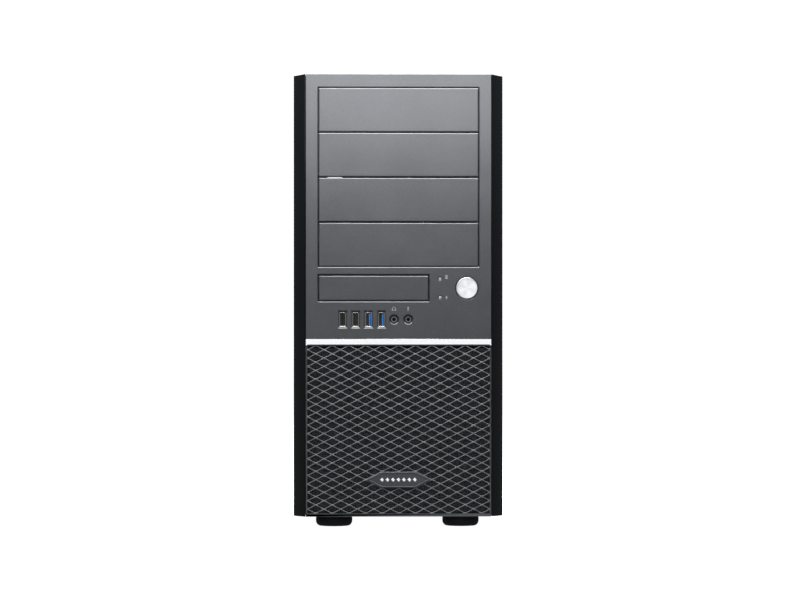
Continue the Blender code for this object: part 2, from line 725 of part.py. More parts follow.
# ---------------------------------------------------------------- front moulding
def front_bezel():
    """Front face with its openings, four walls behind it and a guide for the power button."""
    x, z0, z1 = FACE_HALF, BASE_Z, TOP_Z
    y0, y1 = FRONT_Y, CHASSIS_Y - TOUCH
    holes = [
        rect(-BAY_HALF, BAY_HALF, BAY_LOW, BAY_TOP),
        rect(-BAY_HALF, SMALL_RIGHT, SMALL_LOW, SMALL_TOP),
        ring(BUTTON_X, SMALL_MID, BUTTON_RADIUS + BUTTON_GAP),
    ]
    for sign in (-1, 1):
        holes.append(ring(LENS_X, SMALL_MID + sign * LENS_OFFSET, LENS_RADIUS + TOUCH, SMALL_SIDES))
    half_x, half_z = USB_WIDTH / 2 + USB_MARGIN_X, USB_HEIGHT / 2 + USB_MARGIN_Z
    for i in range(USB_COUNT):
        u = USB_X + i * USB_PITCH
        holes.append(rect(u - half_x, u + half_x, PORT_Z - half_z, PORT_Z + half_z))
    for i in range(JACK_COUNT):
        holes.append(ring(JACK_X + i * JACK_PITCH, PORT_Z, JACK_RADIUS + JACK_GAP, 20))
    face = plate("front_bezel", [rect(-x, x, z0 + PLASTIC, z1), *holes], "Y", y0, y0 + PLASTIC, SATIN)
    lap = y0 + PLASTIC / 2
    for side in (-1, 1):
        x0, x1 = sorted((side * x, side * (x - PLASTIC)))
        join(face, box(f"bezel_wall_{side}", (x0, lap, z0), (x1, y1, z1)))
    join(
        face,
        box("bezel_roof", (-x, lap, z1 - PLASTIC), (x, y1, z1)),
        box("bezel_sill", (-x, lap, z0), (x, y1, z0 + PLASTIC)),
    )
    groove = box(
        "trim_groove",
        (-x - LAP, y0 - LAP, TRIM_LOW - TOUCH),
        (x + LAP, TRIM_Y + TRIM_THICK + TOUCH, TRIM_TOP + TOUCH),
    )
    opening = box(
        "grille_opening",
        (-x - LAP, y0 - LAP, z0 - LAP),
        (x + LAP, GRILLE_BACK + TOUCH, TRIM_LOW - TOUCH / 2),
    )
    cut(face, groove, opening)
    guide_radius = BUTTON_RADIUS + BUTTON_GAP + GUIDE_WALL
    join(face, cylinder("button_guide", (BUTTON_X, lap, SMALL_MID), "Y", GUIDE_LENGTH, guide_radius))
    start = (BUTTON_X, y0 - LAP, SMALL_MID)
    cut(face, cylinder("button_bore", start, "Y", GUIDE_LENGTH + 3 * LAP, BUTTON_RADIUS + BUTTON_GAP))


def bezel_side(name, side):
    """Gloss strip beside the face: it slants back to the full width, and is hollow behind."""
    t = PLASTIC
    inner = FACE_HALF + TOUCH
    y0, y1 = FRONT_Y + STRIP_STEP, CHASSIS_Y - TOUCH
    y2 = FRONT_Y + STRIP_SETBACK
    outline = [(side * inner, y0), (side * HALF, y2), (side * HALF, y1), (side * inner, y1)]
    strip = plate(name, [outline], "Z", BASE_Z, TOP_Z, GLOSS)
    lean = (y2 - y0) / (HALF - inner)
    u0, u1 = inner + 0.7 * t, HALF - 0.7 * t
    hollow = [
        (side * u0, y0 + lean * (u0 - inner) + 1.6 * t),
        (side * u1, y0 + lean * (u1 - inner) + 1.6 * t),
        (side * u1, y1 + t),
        (side * u0, y1 + t),
    ]
    cut(strip, plate(name + "_hollow", [hollow], "Z", BASE_Z + t, TOP_Z - t))
    slope = box(name + "_slope", (-WIDTH, y0 - LAP, 0.0), (WIDTH, y1 + LAP, WIDTH))
    slope.data.transform(Matrix.Translation((0, 0, WIDTH / 2)))
    slope.location = (side * inner, (y0 + y1) / 2, TOP_Z)
    slope.rotation_euler = (0, side * math.atan(STRIP_DROP / (HALF - inner)), 0)
    cut(strip, slope)


def bay_cover(name, x0, x1, z0, z1):
    """Blank cover: a face, two ears that clip behind the front, and two stiffening ribs."""
    y0 = FRONT_Y
    lap = y0 + COVER_THICK / 2
    inset = COVER_GAP + TOUCH
    cover = box(name, (x0, y0, z0), (x1, y0 + COVER_THICK, z1), SATIN)
    for place_name, u in (("left", x0 + inset), ("right", x1 - inset - COVER_EAR)):
        low = (u, lap, z0 + 4 * inset)
        high = (u + COVER_EAR, y0 + COVER_DEPTH, z1 - 4 * inset)
        join(cover, box(f"{name}_ear_{place_name}", low, high))
    for place_name, z in (("low", z0 + inset), ("high", z1 - inset - COVER_EAR)):
        low = (x0 + 2 * inset, lap, z)
        high = (x1 - 2 * inset, y0 + COVER_RIB_DEPTH, z + COVER_EAR)
        join(cover, box(f"{name}_rib_{place_name}", low, high))


def bay_covers():
    half = BAY_HALF - COVER_GAP
    for i in range(BAY_COUNT):
        top = BAY_TOP - i * BAY_PITCH
        low = top - BAY_PITCH + COVER_SEAM
        bay_cover(f"bay_cover_{i + 1}", -half, half, low, top - COVER_SEAM)
    gap = COVER_GAP
    bay_cover("small_bay_cover", -BAY_HALF + gap, SMALL_RIGHT - gap, SMALL_LOW + gap, SMALL_TOP - gap)


def power_button():
    """Round cap with a stem that stops short of its switch by the button's travel."""
    y0 = FRONT_Y - BUTTON_PROUD
    start = (BUTTON_X, y0, SMALL_MID)
    cap = cylinder("power_button", start, "Y", BUTTON_LENGTH, BUTTON_RADIUS, SILVER)
    start = (BUTTON_X, y0 + BUTTON_LENGTH - LAP, SMALL_MID)
    join(cap, cylinder("button_stem", start, "Y", STEM_LENGTH + LAP, STEM_RADIUS, sides=SMALL_SIDES))
    smooth(cap)
    y1 = y0 + BUTTON_LENGTH + STEM_LENGTH + BUTTON_TRAVEL + TOUCH
    half = SWITCH_SIZE / 2
    low = (BUTTON_X - half, y1, SMALL_MID - half)
    box("power_switch", low, (BUTTON_X + half, y1 + SWITCH_DEPTH, SMALL_MID + half), CONNECTOR)


def indicator_lens(name, z):
    start = (LENS_X, FRONT_Y + TOUCH, z)
    smooth(cylinder(name, start, "Y", LENS_LENGTH, LENS_RADIUS, LENS, sides=SMALL_SIDES))


def usb_port(name, x):
    """Receptacle: a shell open to the front, with its contact tongue on the back wall."""
    half_x, half_z = USB_WIDTH / 2, USB_HEIGHT / 2
    t, back = USB_WALL, 0.002
    y0 = FRONT_Y + PORT_RECESS
    y1 = y0 + USB_DEPTH
    shell = box(name, (x - half_x, y0, PORT_Z - half_z), (x + half_x, y1, PORT_Z + half_z), SHELL_METAL)
    low = (x - half_x + t, y0 - LAP, PORT_Z - half_z + t)
    cut(shell, box(name + "_cavity", low, (x + half_x - t, y1 - back, PORT_Z + half_z - t)))
    low = (x + TOUCH, y0 + PORT_RECESS, PORT_Z - TONGUE_WIDTH / 2)
    high = (x + TOUCH + TONGUE_THICK, y1 - back / 2, PORT_Z + TONGUE_WIDTH / 2)
    join(shell, box(name + "_tongue", low, high))


def audio_jack(name, x):
    """Round socket with a blind bore."""
    y0 = FRONT_Y + PORT_RECESS
    jack = cylinder(name, (x, y0, PORT_Z), "Y", JACK_DEPTH, JACK_RADIUS, CONNECTOR, sides=20)
    cut(jack, cylinder(name + "_bore", (x, y0 - LAP, PORT_Z), "Y", JACK_DEPTH, JACK_BORE_RADIUS, sides=12))
    smooth(jack)


def front_ports():
    """The row of sockets, and the circuit board behind it."""
    for i in range(USB_COUNT):
        usb_port(f"usb_port_{i + 1}", USB_X + i * USB_PITCH)
    for i in range(JACK_COUNT):
        audio_jack(f"audio_jack_{i + 1}", JACK_X + i * JACK_PITCH)
    y0 = FRONT_Y + PORT_RECESS + max(USB_DEPTH, JACK_DEPTH) + TOUCH
    last = JACK_X + (JACK_COUNT - 1) * JACK_PITCH + JACK_RADIUS
    half = USB_HEIGHT / 2 + 0.003
    low = (USB_X - USB_WIDTH / 2 - PORT_BOARD_MARGIN, y0, PORT_Z - half)
    box("front_io_board", low, (last + PORT_BOARD_MARGIN, y0 + BOARD_THICK, PORT_Z + half), BOARD)


def clip_to(points, u0, u1, v0, v1):
    """The part of a convex outline inside a rectangle, cut off at one side after another."""
    for index, limit, sign in ((0, u0, 1), (0, u1, -1), (1, v0, 1), (1, v1, -1)):
        kept = []
        for a, b in zip(points, points[1:] + points[:1]):
            da, db = sign * (a[index] - limit), sign * (b[index] - limit)
            if da >= 0:
                kept.append(a)
            if da * db < 0:
                share = da / (da - db)
                kept.append((a[0] + share * (b[0] - a[0]), a[1] + share * (b[1] - a[1])))
        points = kept
    return points


def area(points):
    return abs(sum(a[0] * b[1] - b[0] * a[1] for a, b in zip(points, points[1:] + points[:1]))) / 2


def near_badge(points):
    """True where a cell reaches into the solid pad under the badge."""
    slope = (BADGE_WIDTH - BADGE_FLAT) / BADGE_HEIGHT
    for u, v in points:
        drop = abs(v - BADGE_Z)
        reach = BADGE_WIDTH / 2 - drop * slope + BADGE_PAD
        if drop < BADGE_HEIGHT / 2 + BADGE_PAD and abs(u) < reach:
            return True
    return False


def grille_cells():
    """Lozenge openings in a staggered pattern. One opening here stands for two moulded ones each way."""
    u1 = FACE_HALF - GRILLE_SIDE_FRAME
    v0, v1 = BASE_Z + GRILLE_LOW_FRAME, GRILLE_TOP - GRILLE_TOP_FRAME
    half_u = CELL_WIDTH / 2 - RIB * CELL_WIDTH / CELL_HEIGHT / 2
    half_v = CELL_HEIGHT / 2 - RIB / 2
    columns = math.ceil(u1 / CELL_WIDTH) + 1
    rows = math.ceil((v1 - v0) / CELL_HEIGHT) + 1
    smallest = RIB * CELL_WIDTH / 2
    corner = FACE_HALF - GRILLE_CORNER
    cells = []
    for row in range(2 * rows):
        for column in range(-columns, columns + 1):
            u = (column + 0.5 * (row % 2)) * CELL_WIDTH
            v = v0 + (row + 1) * CELL_HEIGHT / 2
            cell = [(u + half_u, v), (u, v + half_v), (u - half_u, v), (u, v - half_v)]
            cell = clip_to(cell, -u1, u1, v0, v1)
            if len(cell) < 3 or area(cell) < smallest or near_badge(cell):
                continue
            if any(abs(p) > corner and q > GRILLE_TOP - GRILLE_CORNER for p, q in cell):
                continue
            cells.append(cell)
    return cells


def front_grille():
    """Moulded lattice with rounded upper corners, the badge on its pad, and the filter behind."""
    x, r = FACE_HALF, GRILLE_CORNER
    edge = [(-x, BASE_Z), (x, BASE_Z)]
    edge += arc(x - r, GRILLE_TOP - r, r, 0, 90, 5)
    edge += arc(-x + r, GRILLE_TOP - r, r, 90, 180, 5)
    plate("front_grille", [edge, *grille_cells()], "Y", GRILLE_Y, GRILLE_BACK, LATTICE)
    tip, flat, half = BADGE_WIDTH / 2, BADGE_FLAT / 2, BADGE_HEIGHT / 2
    hexagon = [(tip, 0), (flat, half), (-flat, half), (-tip, 0), (-flat, -half), (flat, -half)]
    hexagon = [(u, BADGE_Z + v) for u, v in hexagon]
    plate("badge", [hexagon], "Y", FRONT_Y - BADGE_PROUD, GRILLE_Y - TOUCH, SATIN)
    y0 = GRILLE_BACK + TOUCH
    half = FACE_HALF - PLASTIC - TOUCH
    low = (-half, y0, BASE_Z + FILTER_MARGIN)
    box("dust_filter", low, (half, y0 + FILTER_THICK, GRILLE_TOP - FILTER_MARGIN), FOAM)


def trim_strip():
    """Bright strip over the grille; its ends reach down round the grille's rounded corners."""
    x, r = FACE_HALF, GRILLE_CORNER
    lean = math.degrees(math.acos(r / (r + TOUCH)))
    low = arc(-x + r, GRILLE_TOP - r, r + TOUCH, 180 - lean, 90, 5)
    low += arc(x - r, GRILLE_TOP - r, r + TOUCH, 90, lean, 5)
    outline = [(x, TRIM_TOP), (-x, TRIM_TOP), *low]
    plate("trim_strip", [outline], "Y", TRIM_Y, TRIM_Y + TRIM_THICK, BRIGHT)


# ---------------------------------------------------------------- fans
def place(obj, centre, axis):
    """Turns an object built about Z to its axis and puts its origin at the centre."""
    obj.data.transform(TURN[axis])
    obj.location = centre
    return obj


def spider(hub, reach, half_width):
    """Outline of a round motor mount with four arms, each on a diagonal."""
    points = []
    lean = math.degrees(math.asin(half_width / hub))
    for arm in range(4):
        heading = 45 + 90 * arm
        u, v = math.cos(math.radians(heading)), math.sin(math.radians(heading))
        for across in (-half_width, half_width):
            points.append((reach * u - across * v, reach * v + across * u))
        points += arc(0, 0, hub, heading + lean, heading + 90 - lean, 5)
    return points


def fan_frame(name, centre, axis, size, depth):
    """Square housing with a round duct; a motor mount on four arms stands near its far end."""
    duct, screw = size * FAN_DUCT, size * FAN_SCREW
    holes = [ring(0, 0, duct)]
    for u in (-screw, screw):
        for v in (-screw, screw):
            holes.append(ring(u, v, FAN_SCREW_RADIUS, 8))
    edge = rect(-size / 2, size / 2, -size / 2, size / 2)
    frame = place(plate(name, [edge, *holes], "Z", 0.0, depth, FAN_PLASTIC), centre, axis)
    arms = spider(size * FAN_HUB, duct + LAP, FAN_ARM_WIDTH / 2)
    mount = plate(name + "_mount", [arms], "Z", depth - FAN_ARM - RUN, depth - RUN)
    join(frame, place(mount, centre, axis))


def swept_blade(bm, heading, hub, radius, height, chord):
    """One closed, twisted blade from inside the hub out to the radius."""
    rows, columns = 4, 3
    layers = []
    for offset in (-BLADE_THICK / 2, BLADE_THICK / 2):
        layer = []
        for i in range(rows):
            out = i / (rows - 1)
            r = hub * 0.9 + (radius - hub * 0.9) * out
            line = []
            for j in range(columns):
                share = j / (columns - 1) - 0.5
                angle = heading + chord * share + 0.35 * out
                z = height * (0.5 + 0.78 * share * (1 - 0.25 * out)) + offset
                line.append(bm.verts.new((r * math.cos(angle), r * math.sin(angle), z)))
            layer.append(line)
        layers.append(layer)
    low, high = layers
    for i in range(rows - 1):
        for j in range(columns - 1):
            bm.faces.new((high[i][j], high[i + 1][j], high[i + 1][j + 1], high[i][j + 1]))
            bm.faces.new((low[i][j], low[i][j + 1], low[i + 1][j + 1], low[i + 1][j]))
    rim = [(i, 0) for i in range(rows)]
    rim += [(rows - 1, j) for j in range(1, columns)]
    rim += [(i, columns - 1) for i in range(rows - 2, -1, -1)]
    rim += [(0, j) for j in range(columns - 2, 0, -1)]
    for (i, j), (k, m) in zip(rim, rim[1:] + rim[:1]):
        bm.faces.new((low[i][j], low[k][m], high[k][m], high[i][j]))


def fan_rotor(name, centre, axis, radius, hub, height, blades=7):
    """Hub with swept blades, which turns about the axis through its origin."""
    rotor = place(cylinder(name, (0, 0, 0), "Z", height, hub, FAN_PLASTIC, sides=24), centre, axis)
    bm = bmesh.new()
    for blade in range(blades):
        swept_blade(bm, 2 * math.pi * blade / blades, hub, radius, height, 0.72 * 2 * math.pi / blades)
    join(rotor, place(mesh_object(name + "_blades", bm), centre, axis))
    smooth(rotor)


def framed_fan(name, centre, axis, size, depth):
    fan_frame(name + "_frame", centre, axis, size, depth)
    start = Vector(centre)
    start["XYZ".index(axis)] += LAP
    fan_rotor(name + "_rotor", start, axis, size * FAN_BLADE, size * FAN_HUB, depth - FAN_CLEAR)


def case_fans():
    centre = (REAR_FAN_X, REAR_IN - CASE_FAN_DEPTH, REAR_FAN_Z)
    framed_fan("rear_fan", centre, "Y", CASE_FAN, CASE_FAN_DEPTH)
    framed_fan("front_fan", (DRIVE_X, FRAME_IN, FRONT_FAN_Z), "Y", CASE_FAN, CASE_FAN_DEPTH)


# ---------------------------------------------------------------- mainboard group
def rear_ports():
    """Connector block on the board's rear edge, and the thin shield around it."""
    front, back = BOARD_REAR - PORT_BLOCK_DEPTH, REAR_Y + PORT_REAR_PROUD
    x1 = BOARD_X - TOUCH
    last = REAR_PORTS[-1]
    low = (x1 - PORT_BLOCK_BASE, front, PLATE_LOW + REAR_PORTS[0][0])
    high = (x1, BOARD_REAR - LAP, PLATE_LOW + last[0] + last[1])
    block = box("rear_io_ports", low, high, SHELL_METAL)
    holes = []
    for index, (start, width, reach) in enumerate(REAR_PORTS):
        x0, z0 = x1 - reach, PLATE_LOW + start
        join(block, box(f"connector_{index}", (x0, front, z0), (x1, back, z0 + width)))
        holes.append(rect(x0 - TOUCH, x1 + TOUCH, z0 - TOUCH, z0 + width + TOUCH))
    gap = TOUCH
    edge = rect(PLATE_X0 + gap, PLATE_X1 - gap, PLATE_LOW + gap, PLATE_TOP - gap)
    plate("io_shield", [edge, *holes], "Y", REAR_Y - 0.8 * SHEET, REAR_Y - 0.2 * SHEET, SHELL_METAL)


def motherboard():
    """Circuit board with its soldered sockets and slots and the chipset's heatsink."""
    low = (BOARD_X, BOARD_FRONT, BOARD_LOW)
    board = box("motherboard", low, (BOARD_BACK_X, BOARD_REAR, BOARD_TOP), BOARD)
    half_memory = MEMORY_LENGTH / 2 + 0.0035
    edge = BOARD_FRONT + 0.003
    # Each block: height above the board, then its range along Y and along Z.
    blocks = [
        (POWER_SOCKET, edge, edge + 0.010, POWER_SOCKET_Z - 0.026, POWER_SOCKET_Z + 0.026),
        (DATA_SOCKET, edge, edge + 0.012, DATA_SOCKET_Z - 0.008, DATA_SOCKET_Z + 0.008),
        (0.018, BOARD_FRONT + 0.040, BOARD_FRONT + 0.080, BOARD_LOW + 0.020, BOARD_LOW + 0.056),
    ]
    for i in range(2):
        y = MEMORY_Y + i * MEMORY_PITCH
        blocks.append((MEMORY_SOCKET, y - 0.0035, y + 0.0035, MEMORY_Z - half_memory, MEMORY_Z + half_memory))
    for i in (1, 2):
        z = SLOT_Z - i * SLOT_PITCH
        blocks.append((CARD_SOCKET, BOARD_REAR - 0.140, BOARD_REAR - 0.050, z - 0.0037, z + 0.0037))
    for index, (height, y0, y1, z0, z1) in enumerate(blocks):
        join(board, box(f"board_block_{index}", (BOARD_X - height, y0, z0), (BOARD_X + LAP, y1, z1)))


def memory_module():
    x1 = BOARD_X - MEMORY_SOCKET - TOUCH
    half_y, half_z = MEMORY_THICK / 2, MEMORY_LENGTH / 2
    low = (x1 - MEMORY_HEIGHT, MEMORY_Y - half_y, MEMORY_Z - half_z)
    box("memory_module", low, (x1, MEMORY_Y + half_y, MEMORY_Z + half_z), BOARD)


def processor_group():
    """Processor, its round finned heatsink, and the fan on it, stacked out from the board."""
    half = PROCESSOR_SIZE / 2
    x1 = BOARD_X - TOUCH
    x0 = x1 - PROCESSOR_THICK
    low = (x0, COOLER_Y - half, COOLER_Z - half)
    box("processor", low, (x1, COOLER_Y + half, COOLER_Z + half), ZINC)
    points = []
    for i in range(COOLER_FINS):
        for share, turn in ((COOLER_ROOT, 0.10), (1.0, 0.32), (1.0, 0.68), (COOLER_ROOT, 0.90)):
            angle = 2 * math.pi * (i + turn) / COOLER_FINS
            radius = share * COOLER_RADIUS
            points.append((COOLER_Y + radius * math.cos(angle), COOLER_Z + radius * math.sin(angle)))
    sink_x1 = x0 - TOUCH
    sink_x0 = sink_x1 - COOLER_HEIGHT
    plate("cpu_heatsink", [points], "X", sink_x0, sink_x1, FIN_METAL)
    centre = (sink_x0 - TOUCH - COOLER_FAN_DEPTH, COOLER_Y, COOLER_Z)
    framed_fan("cpu_fan", centre, "X", COOLER_FAN, COOLER_FAN_DEPTH)


def graphics_card():
    """Low card in the first slot: board, finned block and the bracket that closes the slot."""
    z = SLOT_Z - BOARD_THICK / 2
    x1 = BOARD_X - CARD_SOCKET - TOUCH
    x0 = x1 - CARD_REACH
    card = box(
        "graphics_card", (x0, BOARD_REAR - CARD_LENGTH, z), (x1, REAR_IN - SHEET / 2, z + BOARD_THICK), BOARD
    )
    sink_x0, sink_x1 = x0 + 0.020, x1 - 0.018
    sink_y0, sink_y1 = BOARD_REAR - 0.125, BOARD_REAR - 0.045
    base = z - 0.003
    join(card, box("card_sink", (sink_x0, sink_y0, base), (sink_x1, sink_y1, z + BOARD_THICK / 2)))
    step = (sink_x1 - sink_x0 - 3 * CARD_FIN_THICK) / (CARD_FINS - 1)
    for i in range(CARD_FINS):
        x = sink_x0 + CARD_FIN_THICK + i * step
        low = (x, sink_y0 + LAP, z - CARD_FIN_HEIGHT)
        join(card, box(f"card_fin_{i}", low, (x + CARD_FIN_THICK, sink_y1 - LAP, base + LAP)))
    half = SLOT_HEIGHT / 2 + 0.0025
    low = (SLOT_X0 - 0.004, REAR_IN - SHEET, SLOT_Z - half)
    join(card, box("card_bracket", low, (BOARD_X - RUN, REAR_IN, SLOT_Z + half)))


# ---------------------------------------------------------------- power supply and drive
def inlet_range(grow):
    """Range of the mains inlet along X and along Z, grown on every side."""
    x1, z0 = PSU_X1 - INLET_INSET, PSU_Z0 + INLET_LIFT
    return x1 - INLET_WIDTH - grow, x1 + grow, z0 - grow, z0 + INLET_HEIGHT + grow


def rocker_range(grow):
    """Range of the rocker along X and along Z, grown on every side."""
    x1, z0 = PSU_X1 - ROCKER_INSET, PSU_Z0 + ROCKER_LIFT
    return x1 - ROCKER_WIDTH - grow, x1 + grow, z0 - grow, z0 + ROCKER_HEIGHT + grow


def psu_duct():
    """Cutter for the fan opening: a disc less its hub and six spokes."""
    t = SHEET
    z0, z1 = PSU_Z0 - LAP, PSU_Z0 + t + LAP
    centre = (PSU_FAN_X, PSU_FAN_Y)
    duct = cylinder("psu_duct", (*centre, z0), "Z", z1 - z0, PSU_DUCT_RADIUS)
    cut(duct, cylinder("psu_duct_hub", (*centre, z0 - LAP), "Z", z1 - z0 + 2 * LAP, 0.021))
    reach, half = PSU_DUCT_RADIUS + 2 * LAP, 0.0025
    for angle in (0, 60, 120):
        spoke = box(f"psu_spoke_{angle}", (-reach, -half, z0 - LAP), (reach, half, z1 + LAP))
        spoke.location = (*centre, (z0 + z1) / 2)
        spoke.rotation_euler = (0, 0, math.radians(angle))
        cut(duct, spoke)
    return duct


def power_supply():
    """Hollow housing: fan opening below, and a rear face for the inlet, the rocker and the vent."""
    t = SHEET
    low, high = (PSU_X0, PSU_Y0, PSU_Z0), (PSU_X1, PSU_Y1, PSU_Z1)
    housing = box("psu_housing", low, high, BLACK_STEEL)
    cut(housing, box("psu_cavity", [v + t for v in low], [v - t for v in high]))
    cut(housing, psu_duct())
    rear = [rect(*inlet_range(TOUCH)), rect(*rocker_range(ROCKER_GAP))]
    pitch, slot = 0.0095, 0.0056
    x0, x1 = PSU_X0 + 2 * PSU_MARGIN, PSU_X1 - ROCKER_INSET - INLET_WIDTH - PSU_MARGIN
    rows = int((PSU_HEIGHT - 3 * PSU_MARGIN) / pitch)
    for i in range(rows):
        z = PSU_Z0 + 1.6 * PSU_MARGIN + i * pitch
        rear.append(rect(x0, x1, z, z + slot))
    punch(housing, rear, "Y", PSU_Y1 - 2 * t, PSU_Y1 + t)
    grow = POWER_LEAD_RADIUS + LAP
    low = (OUTLET_X - grow, PSU_Y0 - t, OUTLET_Z - grow)
    cut(housing, box("psu_outlet_hole", low, (OUTLET_X + grow, PSU_Y0 + 2 * t, OUTLET_Z + grow)))
    centre = (PSU_FAN_X, PSU_FAN_Y, PSU_Z0 + t + TOUCH)
    fan_rotor("psu_fan_rotor", centre, "Z", PSU_ROTOR_RADIUS, 0.019, PSU_ROTOR_HEIGHT)


def psu_inlet():
    """Mains socket: a cavity open to the rear, with three blades standing in it."""
    x0, x1, z0, z1 = inlet_range(0.0)
    y1 = PSU_Y1 + LAP
    y0 = y1 - INLET_DEPTH
    t = INLET_WALL
    body = box("psu_inlet", (x0, y0, z0), (x1, y1, z1), CONNECTOR)
    cut(body, box("inlet_cavity", (x0 + t, y0 + t, z0 + t), (x1 - t, y1 + t, z1 - t)))
    middle, level = (x0 + x1) / 2, (z0 + z1) / 2
    for index, (dx, dz) in enumerate(((-BLADE_PITCH, -0.0015), (0.0, 0.0025), (BLADE_PITCH, -0.0015))):
        low = (middle + dx - 0.001, y0 + t / 2, level + dz - 0.002)
        join(body, box(f"inlet_blade_{index}", low, (middle + dx + 0.001, y1 - 0.003, level + dz + 0.002)))


def psu_switch():
    """Rocker, tilted to its pressed side; it turns about a line along X through its origin."""
    x0, x1, z0, z1 = rocker_range(0.0)
    half, height, deep = (x1 - x0) / 2, (z1 - z0) / 2, ROCKER_THICK
    profile = [
        (-deep, 0.55 * height),
        (-deep, -0.55 * height),
        (0.15 * deep, -0.86 * height),
        (0.45 * deep, -0.80 * height),
        (0.20 * deep, 0.0),
        (0.45 * deep, 0.80 * height),
        (0.15 * deep, 0.86 * height),
    ]
    rocker = plate("psu_switch", [profile], "X", -half, half, CONNECTOR)
    rocker.data.transform(Matrix.Rotation(ROCKER_TILT, 4, "X"))
    rocker.location = ((x0 + x1) / 2, PSU_Y1, (z0 + z1) / 2)


def hard_drive():
    """Drive body with the raised lid of a sealed casting, in the lower cage."""
    half, step = HARD_DRIVE_WIDTH / 2, HARD_DRIVE_STEP
    y0, y1 = DRIVE_BACK - HARD_DRIVE_DEPTH, DRIVE_BACK
    z0, z1 = DRIVE_Z, DRIVE_Z + HARD_DRIVE_HEIGHT
    drive = box("hard_drive", (DRIVE_X - half, y0, z0), (DRIVE_X + half, y1, z1 - step + LAP), ZINC)
    low = (DRIVE_X - half + step, y0 + step, z1 - step)
    join(drive, box("drive_lid", low, (DRIVE_X + half - step, y1 - 6 * step, z1)))


# ---------------------------------------------------------------- leads
def lead(name, route, radius, spans):
    """A tube along a smooth curve through the route's points, with so many spans between two of them."""
    guide = bpy.data.curves.new(name + "_route", "CURVE")
    guide.dimensions = "3D"
    guide.resolution_u = spans
    spline = guide.splines.new("BEZIER")
    spline.bezier_points.add(len(route) - 1)
    for point, at in zip(spline.bezier_points, route):
        point.co = at
        point.handle_left_type = point.handle_right_type = "AUTO"
    places = [vertex.co.copy() for vertex in evaluated_mesh(guide).vertices]
    curve = bpy.data.curves.new(name, "CURVE")
    curve.dimensions = "3D"
    curve.bevel_depth = radius
    curve.bevel_resolution = 2
    curve.use_fill_caps = True
    tube = curve.splines.new("POLY")
    tube.points.add(len(places) - 1)
    for point, at in zip(tube.points, places):
        point.co = (*at, 1.0)
    add_object(name, curve, LEAD_SLEEVE)


def leads():
    """Supply lead from the power supply to the board, and data lead from the drive to the board."""
    x, z = OUTLET_X, OUTLET_Z
    end = BOARD_X - POWER_SOCKET - 2 * TOUCH
    y = BOARD_FRONT + 0.008
    power = [
        (x, PSU_Y0 + 0.004, z),
        (x, PSU_Y0 - 0.010, z),
        (x - 0.003, PSU_Y0 - 0.036, z + 0.010),
        (x - 0.008, y + 0.034, z + 0.045),
        (x - 0.010, y + 0.024, z + 0.110),
        (x - 0.008, y + 0.020, POWER_SOCKET_Z - 0.070),
        (x - 0.006, y + 0.008, POWER_SOCKET_Z - 0.026),
        (end - 0.011, y, POWER_SOCKET_Z - 0.002),
        (end - 0.005, y, POWER_SOCKET_Z),
        (end, y, POWER_SOCKET_Z),
    ]
    lead("main_power_cable", power, POWER_LEAD_RADIUS, 3)
    x, y, z = DRIVE_X + 0.018, DRIVE_BACK, DRIVE_Z + 0.006
    end = BOARD_X - DATA_SOCKET - TOUCH
    data = [
        (x, y + TOUCH, z),
        (x, y + 0.010, z + 0.001),
        (x + 0.008, y + 0.022, z + 0.024),
        (x + 0.027, BOARD_FRONT + 0.015, DATA_SOCKET_Z - 0.060),
        (end - 0.030, BOARD_FRONT + 0.009, DATA_SOCKET_Z - 0.012),
        (end - 0.010, BOARD_FRONT + 0.009, DATA_SOCKET_Z),
        (end, BOARD_FRONT + 0.009, DATA_SOCKET_Z),
    ]
    lead("drive_data_cable", data, DATA_LEAD_RADIUS, 5)


# ---------------------------------------------------------------- assembly
def chassis():
    base_pan()
    top_panel()
    front_frame()
    rear_panel()
    board_tray()
    upper_drive_cage()
    lower_drive_cage()
    for name, side in (("left", -1), ("right", 1)):
        side_panel(f"side_panel_{name}", side)
        for row, z in zip(("low", "high"), SCREW_ROWS):
            thumbscrew(f"thumbscrew_{name}_{row}", side * SCREW_X, z)
        foot(f"foot_front_{name}", side * FOOT_X, FRONT_Y + FRONT_FOOT_SETBACK)
        foot(f"foot_rear_{name}", side * FOOT_X, REAR_Y - REAR_FOOT_SETBACK)


def front():
    front_bezel()
    bezel_side("bezel_side_left", -1)
    bezel_side("bezel_side_right", 1)
    bay_covers()
    power_button()
    indicator_lens("power_led_lens", SMALL_MID - LENS_OFFSET)
    indicator_lens("drive_led_lens", SMALL_MID + LENS_OFFSET)
    front_ports()
    front_grille()
    trim_strip()


def electronics():
    case_fans()
    rear_ports()
    motherboard()
    memory_module()
    processor_group()
    graphics_card()
    power_supply()
    psu_inlet()
    psu_switch()
    hard_drive()
    leads()


chassis()
front()
electronics()
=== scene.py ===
"""Looks for the desktop computer tower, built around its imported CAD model.

Lengths are in millimetres inside this file and become metres when a mesh is made.
X runs to the right as seen from the front, the front faces -Y and Z is up.
"""

